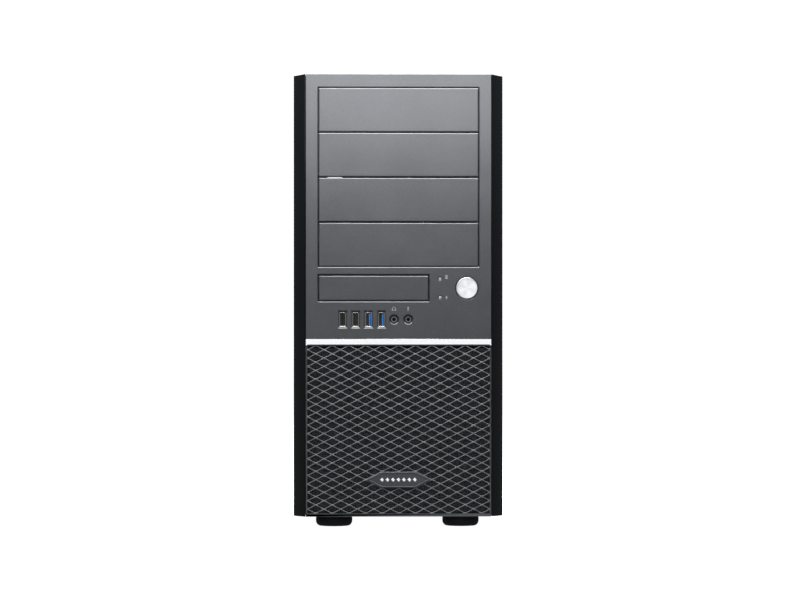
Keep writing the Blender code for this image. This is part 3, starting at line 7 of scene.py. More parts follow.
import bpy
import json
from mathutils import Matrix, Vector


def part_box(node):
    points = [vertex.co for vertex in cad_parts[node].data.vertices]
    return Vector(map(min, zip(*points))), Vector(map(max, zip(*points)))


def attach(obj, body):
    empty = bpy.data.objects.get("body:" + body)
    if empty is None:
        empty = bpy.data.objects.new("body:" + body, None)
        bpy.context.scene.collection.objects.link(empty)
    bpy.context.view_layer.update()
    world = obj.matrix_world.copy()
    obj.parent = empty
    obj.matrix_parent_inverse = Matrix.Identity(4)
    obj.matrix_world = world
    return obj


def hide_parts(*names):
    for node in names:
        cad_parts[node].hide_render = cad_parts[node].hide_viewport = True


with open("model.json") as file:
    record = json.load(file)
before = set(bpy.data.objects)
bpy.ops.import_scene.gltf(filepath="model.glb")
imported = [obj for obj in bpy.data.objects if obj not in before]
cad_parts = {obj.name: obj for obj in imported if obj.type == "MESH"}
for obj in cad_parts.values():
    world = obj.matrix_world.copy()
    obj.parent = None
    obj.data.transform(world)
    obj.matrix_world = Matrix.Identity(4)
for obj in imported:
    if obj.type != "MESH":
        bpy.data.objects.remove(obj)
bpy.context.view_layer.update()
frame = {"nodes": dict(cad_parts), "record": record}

import json
import math

import bmesh
import bpy
import numpy as np
from mathutils import Vector
from mathutils.bvhtree import BVHTree
from mathutils.geometry import tessellate_polygon

METRE = 1000.0
NODES = frame["nodes"]
GROUPS = frame["record"]["behaviour"]["bodies"]
BODY_OF = {name: body for body, names in GROUPS.items() for name in names}


def node_box(name):
    """Lowest and highest corner of a CAD node, in millimetres."""
    low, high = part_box(name)
    return np.array(low) * METRE, np.array(high) * METRE


# ---------------------------------------------------------------- places from the CAD model
FACE_LOW, FACE_HIGH = node_box("front_bezel")
FACE_Y = FACE_LOW[1]
FACE_HALF = FACE_HIGH[0]
BASE_Z, TOP_Z = FACE_LOW[2], FACE_HIGH[2]
WALL = 2.5
GRILLE_CORNER = 2.6
TRIM_LOW, TRIM_HIGH = node_box("trim_strip")
GRILLE_LOW, GRILLE_HIGH = node_box("front_grille")
BODY_HALF = node_box("bezel_side_right")[1][0]
REAR_Y = node_box("rear_panel")[1][1]
BOARD_THICK = 1.6
BOARD_FACE = node_box("motherboard")[1][0] - BOARD_THICK
SLOT_PITCH = 20.32
PIN_PITCH = 2.54
FIRST_SLOT_Z = node_box("rear_io_ports")[0][2] - 5.7 - 14.5


# ---------------------------------------------------------------- outlines
def rectangle(a0, a1, b0, b1, radius=0.0, steps=4):
    """Rectangle with quarter-circle corners, anticlockwise."""
    if radius <= 0:
        return np.array([(a0, b0), (a1, b0), (a1, b1), (a0, b1)], float)
    turn = np.linspace(0, math.pi / 2, steps + 1)
    corners = []
    for quarter, (a, b) in enumerate(
        (
            (a1 - radius, b1 - radius), (a0 + radius, b1 - radius), (a0 + radius, b0 + radius),
            (a1 - radius, b0 + radius)
        )
    ):
        angle = turn + quarter * math.pi / 2
        corners.append(np.stack([a + radius * np.cos(angle), b + radius * np.sin(angle)], 1))
    return np.concatenate(corners)


def circle(a, b, radius, steps=48):
    """Points at even angles round a centre, anticlockwise."""
    angle = np.linspace(0, 2 * math.pi, steps, endpoint=False)
    return np.stack([a + radius * np.cos(angle), b + radius * np.sin(angle)], 1)


def moved_in(outline, inset):
    """Every side of a closed outline moved to its left by inset; neighbours meet on their mitre."""
    ahead = np.roll(outline, -1, 0) - outline
    ahead /= np.linalg.norm(ahead, axis=1, keepdims=True)
    left = np.stack([-ahead[:, 1], ahead[:, 0]], 1)
    before = np.roll(left, 1, 0)
    mitre = left + before
    mitre /= np.maximum(1 + (left * before).sum(1, keepdims=True), 0.2)
    return outline + mitre * inset


def turned_left(outline, anticlockwise):
    """The outline in the wanted direction; its signed area tells which way it runs."""
    nxt = np.roll(outline, -1, 0)
    signed = (outline[:, 0] * nxt[:, 1] - nxt[:, 0] * outline[:, 1]).sum()
    return outline if (signed > 0) == anticlockwise else outline[::-1]


# ---------------------------------------------------------------- profiles: (inset, depth) from front to back
def round_edge(thick, radius, back=0.0, steps=3):
    """Quarter circle at the front edge, a straight wall, and one at the back edge."""
    turn = np.linspace(0, math.pi / 2, steps + 1)
    rows = [(radius * (1 - math.sin(t)), radius * (1 - math.cos(t))) for t in turn]
    if back > 0:
        rows += [(back * (1 - math.cos(t)), thick - back * (1 - math.sin(t))) for t in turn]
    else:
        rows.append((0.0, thick))
    return rows


def chamfer(thick, across, deep, soft=0.12):
    """Sloped edge, across wide and deep deep, with its two corners slightly broken."""
    return [
        (across + soft, 0.0),
        (across - 0.3 * soft, 0.3 * soft),
        (0.3 * soft, deep - 0.3 * soft),
        (0.0, deep + soft),
        (0.0, thick),
    ]


def straight(depth):
    """A plain wall, square to the face."""
    return [(0.0, 0.0), (0.0, depth)]


# ---------------------------------------------------------------- surfaces: (points, faces)
def band(rows, columns, start=0, closed=True):
    """Quads between rows of points; each row has so many columns and may close on itself."""
    i = np.arange(rows - 1)[:, None]
    j = np.arange(columns if closed else columns - 1)[None, :]
    k = (j + 1) % columns
    low, high = start + i * columns, start + (i + 1) * columns
    return np.stack([low + j, low + k, high + k, high + j], -1).reshape(-1, 4).tolist()


def plate(*edges):
    """Flat plate. Each edge is (outline, profile): the profile is carried round the outline.

    The first outline is the rim and the others are holes. The flat areas at the first and the
    last ring are filled.
    """
    points, faces, caps, count = [], [], ([], []), 0
    for number, (outline, profile) in enumerate(edges):
        outline = turned_left(np.asarray(outline, float), number == 0)
        size = len(outline)
        rings = [
            np.column_stack([moved_in(outline, inset), np.full(size, depth)]) for inset, depth in profile
        ]
        points.append(np.concatenate(rings))
        faces += band(len(rings), size, count)
        for cap, ring, first in (
            (caps[0], rings[0], count), (caps[1], rings[-1], count + (len(rings) - 1) * size)
        ):
            cap.append((ring, first))
        count += size * len(rings)
    for cap in caps:
        index = np.concatenate([first + np.arange(len(ring)) for ring, first in cap])
        loops = [[Vector((*p[:2], 0)) for p in ring.tolist()] for ring, _ in cap]
        faces += index[np.array(tessellate_polygon(loops))].tolist()
    return np.concatenate(points), faces


def turned(profile, steps=48):
    """Surface of revolution of (radius, depth) about the depth axis, closed where the radius is 0."""
    profile = np.asarray(profile, float)
    angle = np.linspace(0, 2 * math.pi, steps, endpoint=False)
    radius, depth = profile[:, :1], np.repeat(profile[:, 1:], steps, 1)
    points = np.stack([radius * np.cos(angle), radius * np.sin(angle), depth], -1).reshape(-1, 3)
    return points, band(len(profile), steps)


def block(low, high, radius=0.2):
    """Block between two corners with every edge along one way and both ends rounded."""
    low, high = np.minimum(low, high), np.maximum(low, high)
    radius = min(radius, 0.45 * float((high - low).min()))
    outline = rectangle(low[0], high[0], low[2], high[2], radius, 2)
    part = plate((outline, round_edge(high[1] - low[1], radius, radius, 2)))
    return facing(part, "Y", low[1])


def facing(part, axis, at, into=1, centre=(0, 0)):
    """Stands a surface in the world: its depth runs along the axis from at, forwards or backwards."""
    points, faces = part
    a, b, depth = points[:, 0] + centre[0], points[:, 1] + centre[1], at + into * points[:, 2]
    order = {"X": (depth, a, b), "Y": (a, depth, b), "Z": (a, b, depth)}[axis]
    return np.stack(order, 1), faces


def set_back(part, depth, at=(0, 0)):
    """A surface moved along its own depth, and across by at."""
    return part[0] + np.array([*at, depth]), part[1]


def shade(mesh, angle):
    """Smooth shading up to an angle, and flat shading on faces that lie square to an axis."""
    mesh.shade_smooth()
    mesh.set_sharp_from_angle(angle=math.radians(angle))
    normals = np.zeros(3 * len(mesh.polygons), np.float32)
    mesh.polygons.foreach_get("normal", normals)
    square = np.abs(normals.reshape(-1, 3)).max(1) > 0.99995
    flat = mesh.attributes.get("sharp_face") or mesh.attributes.new("sharp_face", "BOOLEAN", "FACE")
    flat.data.foreach_set("value", square)


def piece(name, parts, finish, body, replaces=(), angle=40.0, merge=0.002):
    """One object from several surfaces. It rides on a body and takes the place of the named nodes."""
    points, faces, count = [], [], 0
    for part_points, part_faces in parts:
        points.append(part_points)
        faces += [[count + i for i in face] for face in part_faces]
        count += len(part_points)
    mesh = bpy.data.meshes.new(name)
    mesh.from_pydata((np.concatenate(points) / METRE).tolist(), [], faces)
    bm = bmesh.new()
    bm.from_mesh(mesh)
    bmesh.ops.remove_doubles(bm, verts=bm.verts, dist=merge / METRE)
    bmesh.ops.recalc_face_normals(bm, faces=bm.faces)
    bm.to_mesh(mesh)
    bm.free()
    shade(mesh, angle)
    mesh.materials.append(finish)
    made = bpy.data.objects.new(name, mesh)
    bpy.context.scene.collection.objects.link(made)
    if body is None:
        return made
    if replaces:
        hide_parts(*replaces)
    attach(made, body)
    return made


# ---------------------------------------------------------------- finishes
def linear(code):
    """Linear colour of an sRGB hex code."""
    value = np.array([int(code[i : i + 2], 16) for i in (1, 3, 5)]) / 255
    value = np.where(value <= 0.04045, value / 12.92, ((value + 0.055) / 1.055) ** 2.4)
    return (*value.tolist(), 1.0)


def add(tree, kind, inputs=None, **settings):
    """Adds a shader node; an input is a value or another node's output socket."""
    made = tree.nodes.new("ShaderNode" + kind)
    for key, value in settings.items():
        setattr(made, key, value)
    for key, value in (inputs or {}).items():
        if isinstance(value, bpy.types.NodeSocket):
            tree.links.new(value, made.inputs[key])
        else:
            made.inputs[key].default_value = value
    return made


def new_finish(name, **shader_inputs):
    """New material with its tree, its Principled shader and its coordinates in metres."""
    made = bpy.data.materials.new(name)
    made.use_nodes = True
    tree = made.node_tree
    tree.nodes.clear()
    shader = add(tree, "BsdfPrincipled", shader_inputs)
    add(tree, "OutputMaterial", {"Surface": shader.outputs[0]})
    place = add(tree, "TexCoord").outputs["Object"]
    return made, tree, shader, place


def mixed(tree, share, first, second):
    """Colour between two hex codes."""
    made = add(tree, "Mix", data_type="RGBA")
    tree.links.new(share, made.inputs[0])
    made.inputs[6].default_value = linear(first)
    made.inputs[7].default_value = linear(second)
    return made.outputs[2]


def ranged(tree, value, low, high, out_low, out_high):
    """A value carried from one range to another, and held at its ends."""
    return add(tree, "MapRange", {0: value, 1: low, 2: high, 3: out_low, 4: out_high}, clamp=True).outputs[0]


def grained(name, dark, light, roughness, grain, relief, cloud=25.0, metallic=0.0, stretch=(1, 1, 1), **more):
    """Moulded, painted or plated surface: fine grain in height, with a slow drift in colour and gloss.

    grain is the grain's width, cloud the drift's width and relief the grain's height, in millimetres.
    """
    made, tree, shader, place = new_finish(name, Metallic=metallic, **more)
    scaled = add(tree, "Mapping", {0: place, 3: stretch}).outputs[0]
    fine = add(tree, "TexNoise", {"Vector": scaled, "Scale": METRE / grain, "Detail": 3.0, "Roughness": 0.6})
    slow = add(tree, "TexNoise", {"Vector": place, "Scale": METRE / cloud, "Detail": 4.0, "Roughness": 0.55})
    both = add(tree, "Math", {0: fine.outputs[0], 1: slow.outputs[0]}, operation="ADD").outputs[0]
    share = ranged(tree, both, 0.7, 1.3, 0.0, 1.0)
    tree.links.new(mixed(tree, share, dark, light), shader.inputs["Base Color"])
    tree.links.new(ranged(tree, both, 0.7, 1.3, *roughness), shader.inputs["Roughness"])
    bump = add(tree, "Bump", {"Strength": 1.0, "Distance": relief / METRE, "Height": fine.outputs[0]})
    tree.links.new(bump.outputs[0], shader.inputs["Normal"])
    return made


# Moulded ABS with a fine spark-eroded grain and metallic graphite pigment: satin, slightly mottled.
GRAPHITE = grained("graphite_abs", "#46484c", "#525458", (0.42, 0.52), 1.3, 0.030, cloud=40.0)
# Polished black ABS: deep and wet-looking, with only a faint waviness.
GLOSS_BLACK = grained("polished_black_abs", "#06070a", "#090a0d", (0.07, 0.13), 30.0, 0.010, cloud=60.0)
# The frame round the lattice, moulded in a mid grey.
LATTICE = grained("lattice_abs", "#5c5e61", "#6c6e71", (0.34, 0.46), 0.7, 0.006, cloud=12.0)
# Black powder coat on sheet steel: a low orange-peel ripple about a millimetre wide.
POWDER_COAT = grained("black_powder_coat", "#141517", "#1c1d20", (0.42, 0.56), 1.1, 0.030, cloud=60.0)
# Zinc-plated sheet: dull silver with a soft drift in its gloss.
ZINC = grained("zinc_plate", "#8b8e92", "#a6a9ad", (0.32, 0.48), 2.5, 0.006, cloud=18.0, metallic=1.0)
# Bright nickel on a drawn shell: smooth, slightly warm.
NICKEL = grained("bright_nickel", "#c9c6c0", "#dedbd5", (0.16, 0.26), 1.2, 0.002, cloud=6.0, metallic=1.0)
# Black nylon of sockets and switches.
NYLON = grained("black_nylon", "#0d0e10", "#151618", (0.35, 0.50), 0.6, 0.006, cloud=9.0)
# Rubber of the feet: matt, with a dusty bloom.
RUBBER = grained("black_rubber", "#101112", "#1b1c1e", (0.62, 0.80), 0.8, 0.020, cloud=10.0)
# Blue tongue of the fast sockets.
BLUE_NYLON = grained("blue_nylon", "#1565b8", "#2a86dc", (0.30, 0.42), 0.8, 0.004, cloud=7.0)
# Pale ink of the small pictures, printed on.
PALE_INK = grained("pale_ink", "#a9abae", "#bbbdc0", (0.45, 0.60), 0.4, 0.001, cloud=3.0)
# Anodised silver: bright and even.
SILVER = grained("silver_anodised", "#f2f3f5", "#fbfbfc", (0.22, 0.30), 0.5, 0.001, cloud=30.0, metallic=1.0)


def spun_aluminium():
    """Aluminium turned on a lathe: fine rings about the button's centre in gloss and height, and a painted
    highlight in the colour, paler and darker in turn four times round the centre.
    """
    low, high = node_box("power_button")
    centre = (low + high) / 2 / METRE
    made, tree, shader, place = new_finish("spun_aluminium", Metallic=1.0)
    local = add(tree, "Mapping", {0: place, 1: (-centre[0], 0, -centre[2])}, vector_type="POINT").outputs[0]
    flat = add(tree, "VectorMath", {0: local, 1: (1, 0, 1)}, operation="MULTIPLY").outputs[0]
    radius = add(tree, "VectorMath", {0: flat}, operation="LENGTH").outputs["Value"]
    rings = add(tree, "TexNoise", {"W": radius, "Scale": METRE / 0.25, "Detail": 2.0}, noise_dimensions="1D")
    parts = add(tree, "SeparateXYZ", {0: flat})
    angle = add(tree, "Math", {0: parts.outputs[2], 1: parts.outputs[0]}, operation="ARCTAN2").outputs[0]
    # Painted highlight: the colour goes paler and darker with the angle round the button's centre, in four
    # streaks.
    painted_highlight_rays = add(
        tree, "Math", {0: add(tree, "Math", {0: angle, 1: 4.0}, operation="MULTIPLY").outputs[0]},
        operation="SINE"
    )
    share = ranged(tree, painted_highlight_rays.outputs[0], -1.0, 1.0, 0.0, 1.0)
    tree.links.new(mixed(tree, share, "#eceef1", "#fbfcfd"), shader.inputs["Base Color"])
    tree.links.new(ranged(tree, rings.outputs[0], 0.3, 0.7, 0.24, 0.36), shader.inputs["Roughness"])
    bump = add(tree, "Bump", {"Strength": 1.0, "Distance": 0.003 / METRE, "Height": rings.outputs[0]})
    tree.links.new(bump.outputs[0], shader.inputs["Normal"])
    return made


def filter_foam():
    """Reticulated foam: open cells about 1.5 mm wide, rough and matt."""
    made, tree, shader, place = new_finish("filter_foam", Roughness=0.95)
    cells = add(tree, "TexVoronoi", {"Vector": place, "Scale": METRE / 1.5}, feature="DISTANCE_TO_EDGE")
    cloud = add(tree, "TexNoise", {"Vector": place, "Scale": METRE / 4.0, "Detail": 4.0})
    walls = ranged(tree, cells.outputs["Distance"], 0.0, 0.35, 1.0, 0.0)
    share = add(tree, "Math", {0: walls, 1: cloud.outputs[0]}, operation="MULTIPLY").outputs[0]
    tree.links.new(mixed(tree, share, "#2a2b2d", "#8e9195"), shader.inputs["Base Color"])
    bump = add(tree, "Bump", {"Strength": 0.8, "Distance": 0.5 / METRE, "Height": walls})
    tree.links.new(bump.outputs[0], shader.inputs["Normal"])
    return made


def painted_highlight_on_upward_bevels(made, highlight_tone):
    """Paints a highlight into a finish: its colour is paler on bevels that lean upwards."""
    tree = made.node_tree
    shader = next(node for node in tree.nodes if node.type == "BSDF_PRINCIPLED")
    base = shader.inputs["Base Color"].links[0].from_socket
    upward = add(tree, "SeparateXYZ", {0: add(tree, "TexCoord").outputs["Normal"]}).outputs[2]
    leaning = ranged(tree, upward, 0.45, 0.60, 0.0, 1.0)
    not_level = ranged(tree, upward, 0.80, 0.90, 1.0, 0.0)
    share = add(tree, "Math", {0: leaning, 1: not_level}, operation="MULTIPLY").outputs[0]
    mix = add(tree, "Mix", {0: share, 6: base, 7: linear(highlight_tone)}, data_type="RGBA")
    tree.links.new(mix.outputs[2], shader.inputs["Base Color"])


def ribs_painted_highlight_and_shade():
    """Moulded ribs with a painted highlight and painted shade: front edges pale to 0.3 mm of depth, dark from
    0.7 mm deeper in.
    """
    made, tree, shader, place = new_finish("ribs_painted_highlight_and_shade", Roughness=0.38)
    depth = add(tree, "SeparateXYZ", {0: place}).outputs[1]
    front = GRILLE_LOW[1] / METRE
    # Painted highlight on the ribs' front edges and painted shade on their sides deeper in, set by depth
    # behind the grille's face.
    share = ranged(tree, depth, front + 0.3 / METRE, front + 0.7 / METRE, 1.0, 0.0)
    tree.links.new(mixed(tree, share, "#161719", "#989b9e"), shader.inputs["Base Color"])
    grain = add(tree, "TexNoise", {"Vector": place, "Scale": METRE / 0.7, "Detail": 3.0})
    bump = add(tree, "Bump", {"Strength": 1.0, "Distance": 0.006 / METRE, "Height": grain.outputs[0]})
    tree.links.new(bump.outputs[0], shader.inputs["Normal"])
    return made


# Painted highlight: the graphite moulding's upward-leaning bevels are coloured paler, where the lights above
# would catch them.
painted_highlight_on_upward_bevels(GRAPHITE, "#b6b8bb")
SPUN = spun_aluminium()
PAINTED_LIGHT_RIBS = ribs_painted_highlight_and_shade()
FOAM = filter_foam()
# Clear lens over an unlit lamp.
LENS = grained("clear_lens", "#d5d9dd", "#eef0f2", (0.08, 0.14), 0.5, 0.001, cloud=2.0)


# ---------------------------------------------------------------- front moulding
BAY_LOW, BAY_HIGH = node_box("bay_cover_4")[0], node_box("bay_cover_1")[1]
COVER_GAP = 0.9
BAY_HALF = BAY_HIGH[0] + COVER_GAP
BAY_BOTTOM, BAY_TOP = BAY_LOW[2] - 0.5, BAY_HIGH[2] + 0.5
SMALL_LOW, SMALL_HIGH = node_box("small_bay_cover")
BUTTON_LOW, BUTTON_HIGH = node_box("power_button")
BUTTON_AT = (BUTTON_LOW[[0, 2]] + BUTTON_HIGH[[0, 2]]) / 2
BUTTON_RADIUS = (BUTTON_HIGH[0] - BUTTON_LOW[0]) / 2
LAMPS = [(sum(node_box(n))[[0, 2]] / 2) for n in ("power_led_lens", "drive_led_lens")]
SOCKETS = [(sum(node_box(f"usb_port_{i}"))[[0, 2]] / 2) for i in (1, 2, 3, 4)]
JACKS = [(sum(node_box(f"audio_jack_{i}"))[[0, 2]] / 2) for i in (1, 2)]
SOCKET_SIZE = np.array([5.7, 13.1])
FUNNEL = np.array([1.45, 1.8])
JACK_RADIUS = 4.2


def front_moulding():
    """Front face with every opening's own edge, and the four walls behind it."""
    lip = chamfer(WALL, 0.7, 0.7)
    face_low = TRIM_HIGH[2] + 0.3
    low, high = SMALL_LOW - COVER_GAP, SMALL_HIGH + COVER_GAP
    small_bay = rectangle(low[0], high[0], low[2], high[2], 0.7)
    edges = [
        (rectangle(-FACE_HALF, FACE_HALF, face_low, TOP_Z, 0.4, 2), round_edge(WALL, 0.35)),
        (rectangle(-BAY_HALF, BAY_HALF, BAY_BOTTOM, BAY_TOP, 0.9), lip),
        (small_bay, lip),
        (circle(*BUTTON_AT, BUTTON_RADIUS + 0.5, 72), chamfer(WALL, 0.8, 0.7)),
    ]
    for lamp in LAMPS:
        edges.append((circle(*lamp, 1.8, 24), chamfer(WALL, 0.35, 0.35, 0.06)))
    slope = [(0.12, 0.0), (-0.05, 0.1), (-1.25, 1.5), (-1.3, 1.6), (-1.3, WALL)]
    for at in SOCKETS:
        half = SOCKET_SIZE / 2 + FUNNEL
        edges.append((rectangle(at[0] - half[0], at[0] + half[0], at[1] - half[1], at[1] + half[1]), slope))
    for at in JACKS:
        edges.append(
            (circle(*at, JACK_RADIUS + 0.6, 48), [(0.1, 0.0), (-0.05, 0.1), (-0.75, 1.1), (-0.8, WALL)])
        )
    face = facing(plate(*edges), "Y", FACE_Y)
    back = FACE_HIGH[1]
    front = FACE_Y + WALL - 0.4
    low_front = GRILLE_HIGH[1] + 0.3
    x = FACE_HALF
    walls = [
        block((-x, front, TOP_Z - WALL), (x, back, TOP_Z), 0.35),
        block((-x, low_front, BASE_Z), (x, back, BASE_Z + WALL), 0.3),
    ]
    for side in (-1, 1):
        inner, outer = side * (x - WALL), side * x
        walls.append(block((inner, front, face_low + 0.2), (outer, back, TOP_Z - 1.0), 0.3))
        walls.append(block((inner, low_front, BASE_Z + 1.0), (outer, back, face_low + 1.0), 0.3))
    ledge = block((-x, TRIM_HIGH[1] + 0.3, face_low - 0.2), (x, low_front + 3.0, face_low + 1.6), 0.3)
    guide = BUTTON_RADIUS + 0.5
    tube = turned([(guide, 0), (guide + 1.5, 0), (guide + 1.5, 7.0), (guide, 7.0), (guide, 0)], 48)
    walls.append(facing(tube, "Y", FACE_Y + 1.2, centre=BUTTON_AT))
    piece("front_moulding", [face, ledge, *walls], GRAPHITE, "front", ["front_bezel"])


def blank_cover(name):
    """Cover with a sloped edge all round, and a skirt, two side arms and four ribs behind."""
    low, high = node_box(name)
    thick, lip = 4.0, 0.42
    outline = rectangle(low[0], high[0], low[2] + 0.1, high[2] - 0.4, 0.5, 3)
    parts = [facing(plate((outline, chamfer(thick, 0.6, 0.6))), "Y", low[1])]
    skirt = [(0.1, 0.0), (0.0, 0.1), (0.0, 4.0), (0.1, 4.1)]
    inside = rectangle(low[0] + 1.3, high[0] - 1.3, low[2] + 1.3, high[2] - 1.3, 0.4, 3)
    parts.append(facing(plate((moved_in(outline, -lip), skirt), (inside, skirt)), "Y", low[1] + 4.2))
    for x0, x1 in ((low[0] + 1.2, low[0] + 2.7), (high[0] - 2.7, high[0] - 1.2)):
        parts.append(block((x0, low[1] + 1.0, low[2] + 4.8), (x1, high[1], high[2] - 4.8), 0.3))
    span = (high[0] - low[0]) / 5
    for x in np.arange(1, 5) * span + low[0]:
        parts.append(
            block((x - 0.7, low[1] + 1.0, low[2] + 1.0), (x + 0.7, low[1] + 5.5, high[2] - 1.0), 0.3)
        )
    piece(name + "_blank", parts, GRAPHITE, name, [name])


STRIP_SETBACK = 14.0
STRIP_DROP = 1.2


def side_strip(name, side):
    """Section of the strip carried upwards; at the top its ends fall away with the slope.

    From the inner edge the section rolls over with a radius of 0.8 mm and goes straight to 1.1 mm short
    of the outer edge. At a share t of the bend there it is 1.1 mm times (1 - t) squared short of it.
    """
    low, high = node_box(name)
    inner = min(abs(low[0]), abs(high[0]))
    outer = BODY_HALF
    front, back = low[1], high[1]
    setback = FACE_Y + STRIP_SETBACK
    turn = np.linspace(0, 1, 7)
    rows = [(inner, back), (inner, front + 0.8)]
    rows += [
        (inner + 0.8 * (1 - math.cos(t * 1.3)), front + 0.8 - 0.8 * math.sin(t * 1.3)) for t in turn[1:-1]
    ]
    lean = (setback - front) / (outer - inner)
    rows += [(inner + 1.2, front + 0.45), (outer - 1.1, setback - 1.1 * lean)]
    rows += [(outer - 1.1 * (1 - t) ** 2, setback - 1.1 * lean + (1.1 * lean + 1.6) * t) for t in turn[1:]]
    rows += [(outer, back)]
    section = np.array(rows)
    drop = (section[:, 0] - inner) / (outer - inner) * STRIP_DROP
    levels = [(0.35, 0.0), (0.1, 0.1), (0.0, 0.35), (0.0, -0.4), (0.1, -0.12), (0.4, 0.0)]
    rings = []
    outline = turned_left(section, True)
    if outline is not section:
        drop = drop[::-1]
    for number, (inset, rise) in enumerate(levels):
        ring = moved_in(outline, inset)
        upper = number >= 3
        base, fall = (TOP_Z, drop) if upper else (BASE_Z, 0 * drop)
        rings.append(np.column_stack([side * ring[:, 0], ring[:, 1], base + rise - fall]))
    size = len(section)
    faces = band(len(rings), size)
    faces.append(list(range(size)))
    faces.append(list(range((len(rings) - 1) * size, len(rings) * size)))
    piece(name + "_gloss", [(np.concatenate(rings), faces)], GLOSS_BLACK, "front", [name])


def power_button():
    """Turned cap with a dished face and a rolled rim, on a stem."""
    r = BUTTON_RADIUS
    depth = BUTTON_HIGH[1] - BUTTON_LOW[1]
    profile = [
        (0.0, 0.28), (0.25 * r, 0.27), (0.5 * r, 0.24), (0.75 * r, 0.17), (r - 1.1, 0.08), (r - 0.7, 0.0)
    ]
    profile += [
        (r - 0.45, 0.04), (r - 0.15, 0.25), (r, 0.6), (r, 8.0), (3.0, 8.0), (3.0, depth - 0.3), (2.7, depth)
    ]
    profile += [(0.0, depth)]
    part = facing(turned(profile, 96), "Y", BUTTON_LOW[1], centre=BUTTON_AT)
    piece("power_button_cap", [part], SPUN, "power_button", ["power_button"])


def lamp_lenses():
    """Small domed lenses set back in their holes."""
    for name, at in zip(("power_led_lens", "drive_led_lens"), LAMPS):
        profile = [(0.0, 0.3), (0.6, 0.4), (1.1, 0.7), (1.4, 1.1), (1.5, 1.5), (1.5, 6.4), (0.0, 6.4)]
        part = facing(turned(profile, 24), "Y", FACE_Y + 0.3, centre=at)
        piece(name + "_dome", [part], LENS, "front", [name])


def front_socket(number, at, tongue_finish):
    """Drawn shell with a lip below it, a dark back wall and the contact tongue."""
    name = f"usb_port_{number}"
    low, high = node_box(name)
    outline = rectangle(low[0], high[0], low[2], high[2], 1.1, 4)
    inner = rectangle(low[0] + 0.4, high[0] - 0.4, low[2] + 0.4, high[2] - 0.4, 0.8, 4)
    length = high[1] - low[1]
    shell = facing(plate((outline, round_edge(length, 0.15)), (inner, round_edge(length, 0.15))), "Y", low[1])
    lip = block(
        (low[0] - 0.4, low[1] - 0.9, low[2] - 0.75), (high[0] + 0.4, low[1] + 0.5, low[2] + 0.1), 0.25
    )
    piece(f"socket_shell_{number}", [shell, lip], NICKEL, "front", [name])
    back = block((low[0] + 0.3, high[1] - 9.0, low[2] + 0.3), (high[0] - 0.3, high[1] - 0.5, high[2] - 0.3))
    piece(f"socket_back_{number}", [back], NYLON, "front")
    tongue = block((at[0] + 0.25, low[1] + 1.2, at[1] - 5.6), (at[0] + 2.05, high[1] - 1.6, at[1] + 5.6), 0.3)
    piece(f"socket_tongue_{number}", [tongue], tongue_finish, "front")


def audio_jack(number, at):
    """Black barrel with a grey ring round its bore."""
    name = f"audio_jack_{number}"
    low, high = node_box(name)
    depth = high[1] - low[1]
    barrel = [
        (1.8, 0.9), (2.0, 0.55), (2.4, 0.5), (2.9, 0.75), (3.0, 1.0), (3.3, 1.0), (3.5, 0.1), (3.8, 0.0),
        (4.1, 0.1)
    ]
    barrel += [(4.2, 0.4), (4.2, depth), (0.0, depth)]
    bore = [(1.8, 0.9), (1.75, 1.2), (1.75, 12.0), (0.0, 12.0)]
    parts = [facing(turned(p, 48), "Y", low[1], centre=at) for p in (barrel, bore)]
    piece(name + "_barrel", parts, NYLON, "front", [name])
    collar = [(1.85, 3.0), (1.85, 0.6), (2.0, 0.42), (2.5, 0.42), (2.7, 0.6), (2.7, 1.4)]
    piece(
        name + "_collar", [facing(turned(collar, 48), "Y", low[1], centre=at)], ZINC, "front",
    )


def trim():
    """Flat bright strip with softened edges; its ends reach round the grille's corners."""
    low, high = TRIM_LOW, TRIM_HIGH
    x, corner = FACE_HALF, GRILLE_CORNER
    reach = corner + 0.3
    angle = np.linspace(math.acos((corner - 0.25) / reach), math.pi / 2, 7)
    right = np.stack([x - corner + reach * np.cos(angle), GRILLE_HIGH[2] - corner + reach * np.sin(angle)], 1)
    left = right[::-1] * (-1, 1)
    tip = right[0, 1]
    outline = np.concatenate([[(x, tip)], right, left, [(-x, tip), (-x, high[2]), (x, high[2])]])
    profile = [(0.12, 0.0), (0.04, 0.03), (0.0, 0.12), (0.0, high[1] - low[1])]
    part = facing(plate((outline, profile)), "Y", low[1])
    piece("trim_strip_bright", [part], SILVER, "front", ["trim_strip"], angle=60)


# ---------------------------------------------------------------- grille
# Width and height of a lozenge between the ribs' middle lines.
CELL = np.array([15.49, 7.82])
LATTICE_MIDDLE = 0.2
RIB = 0.75
RIB_DEPTH = 3.6


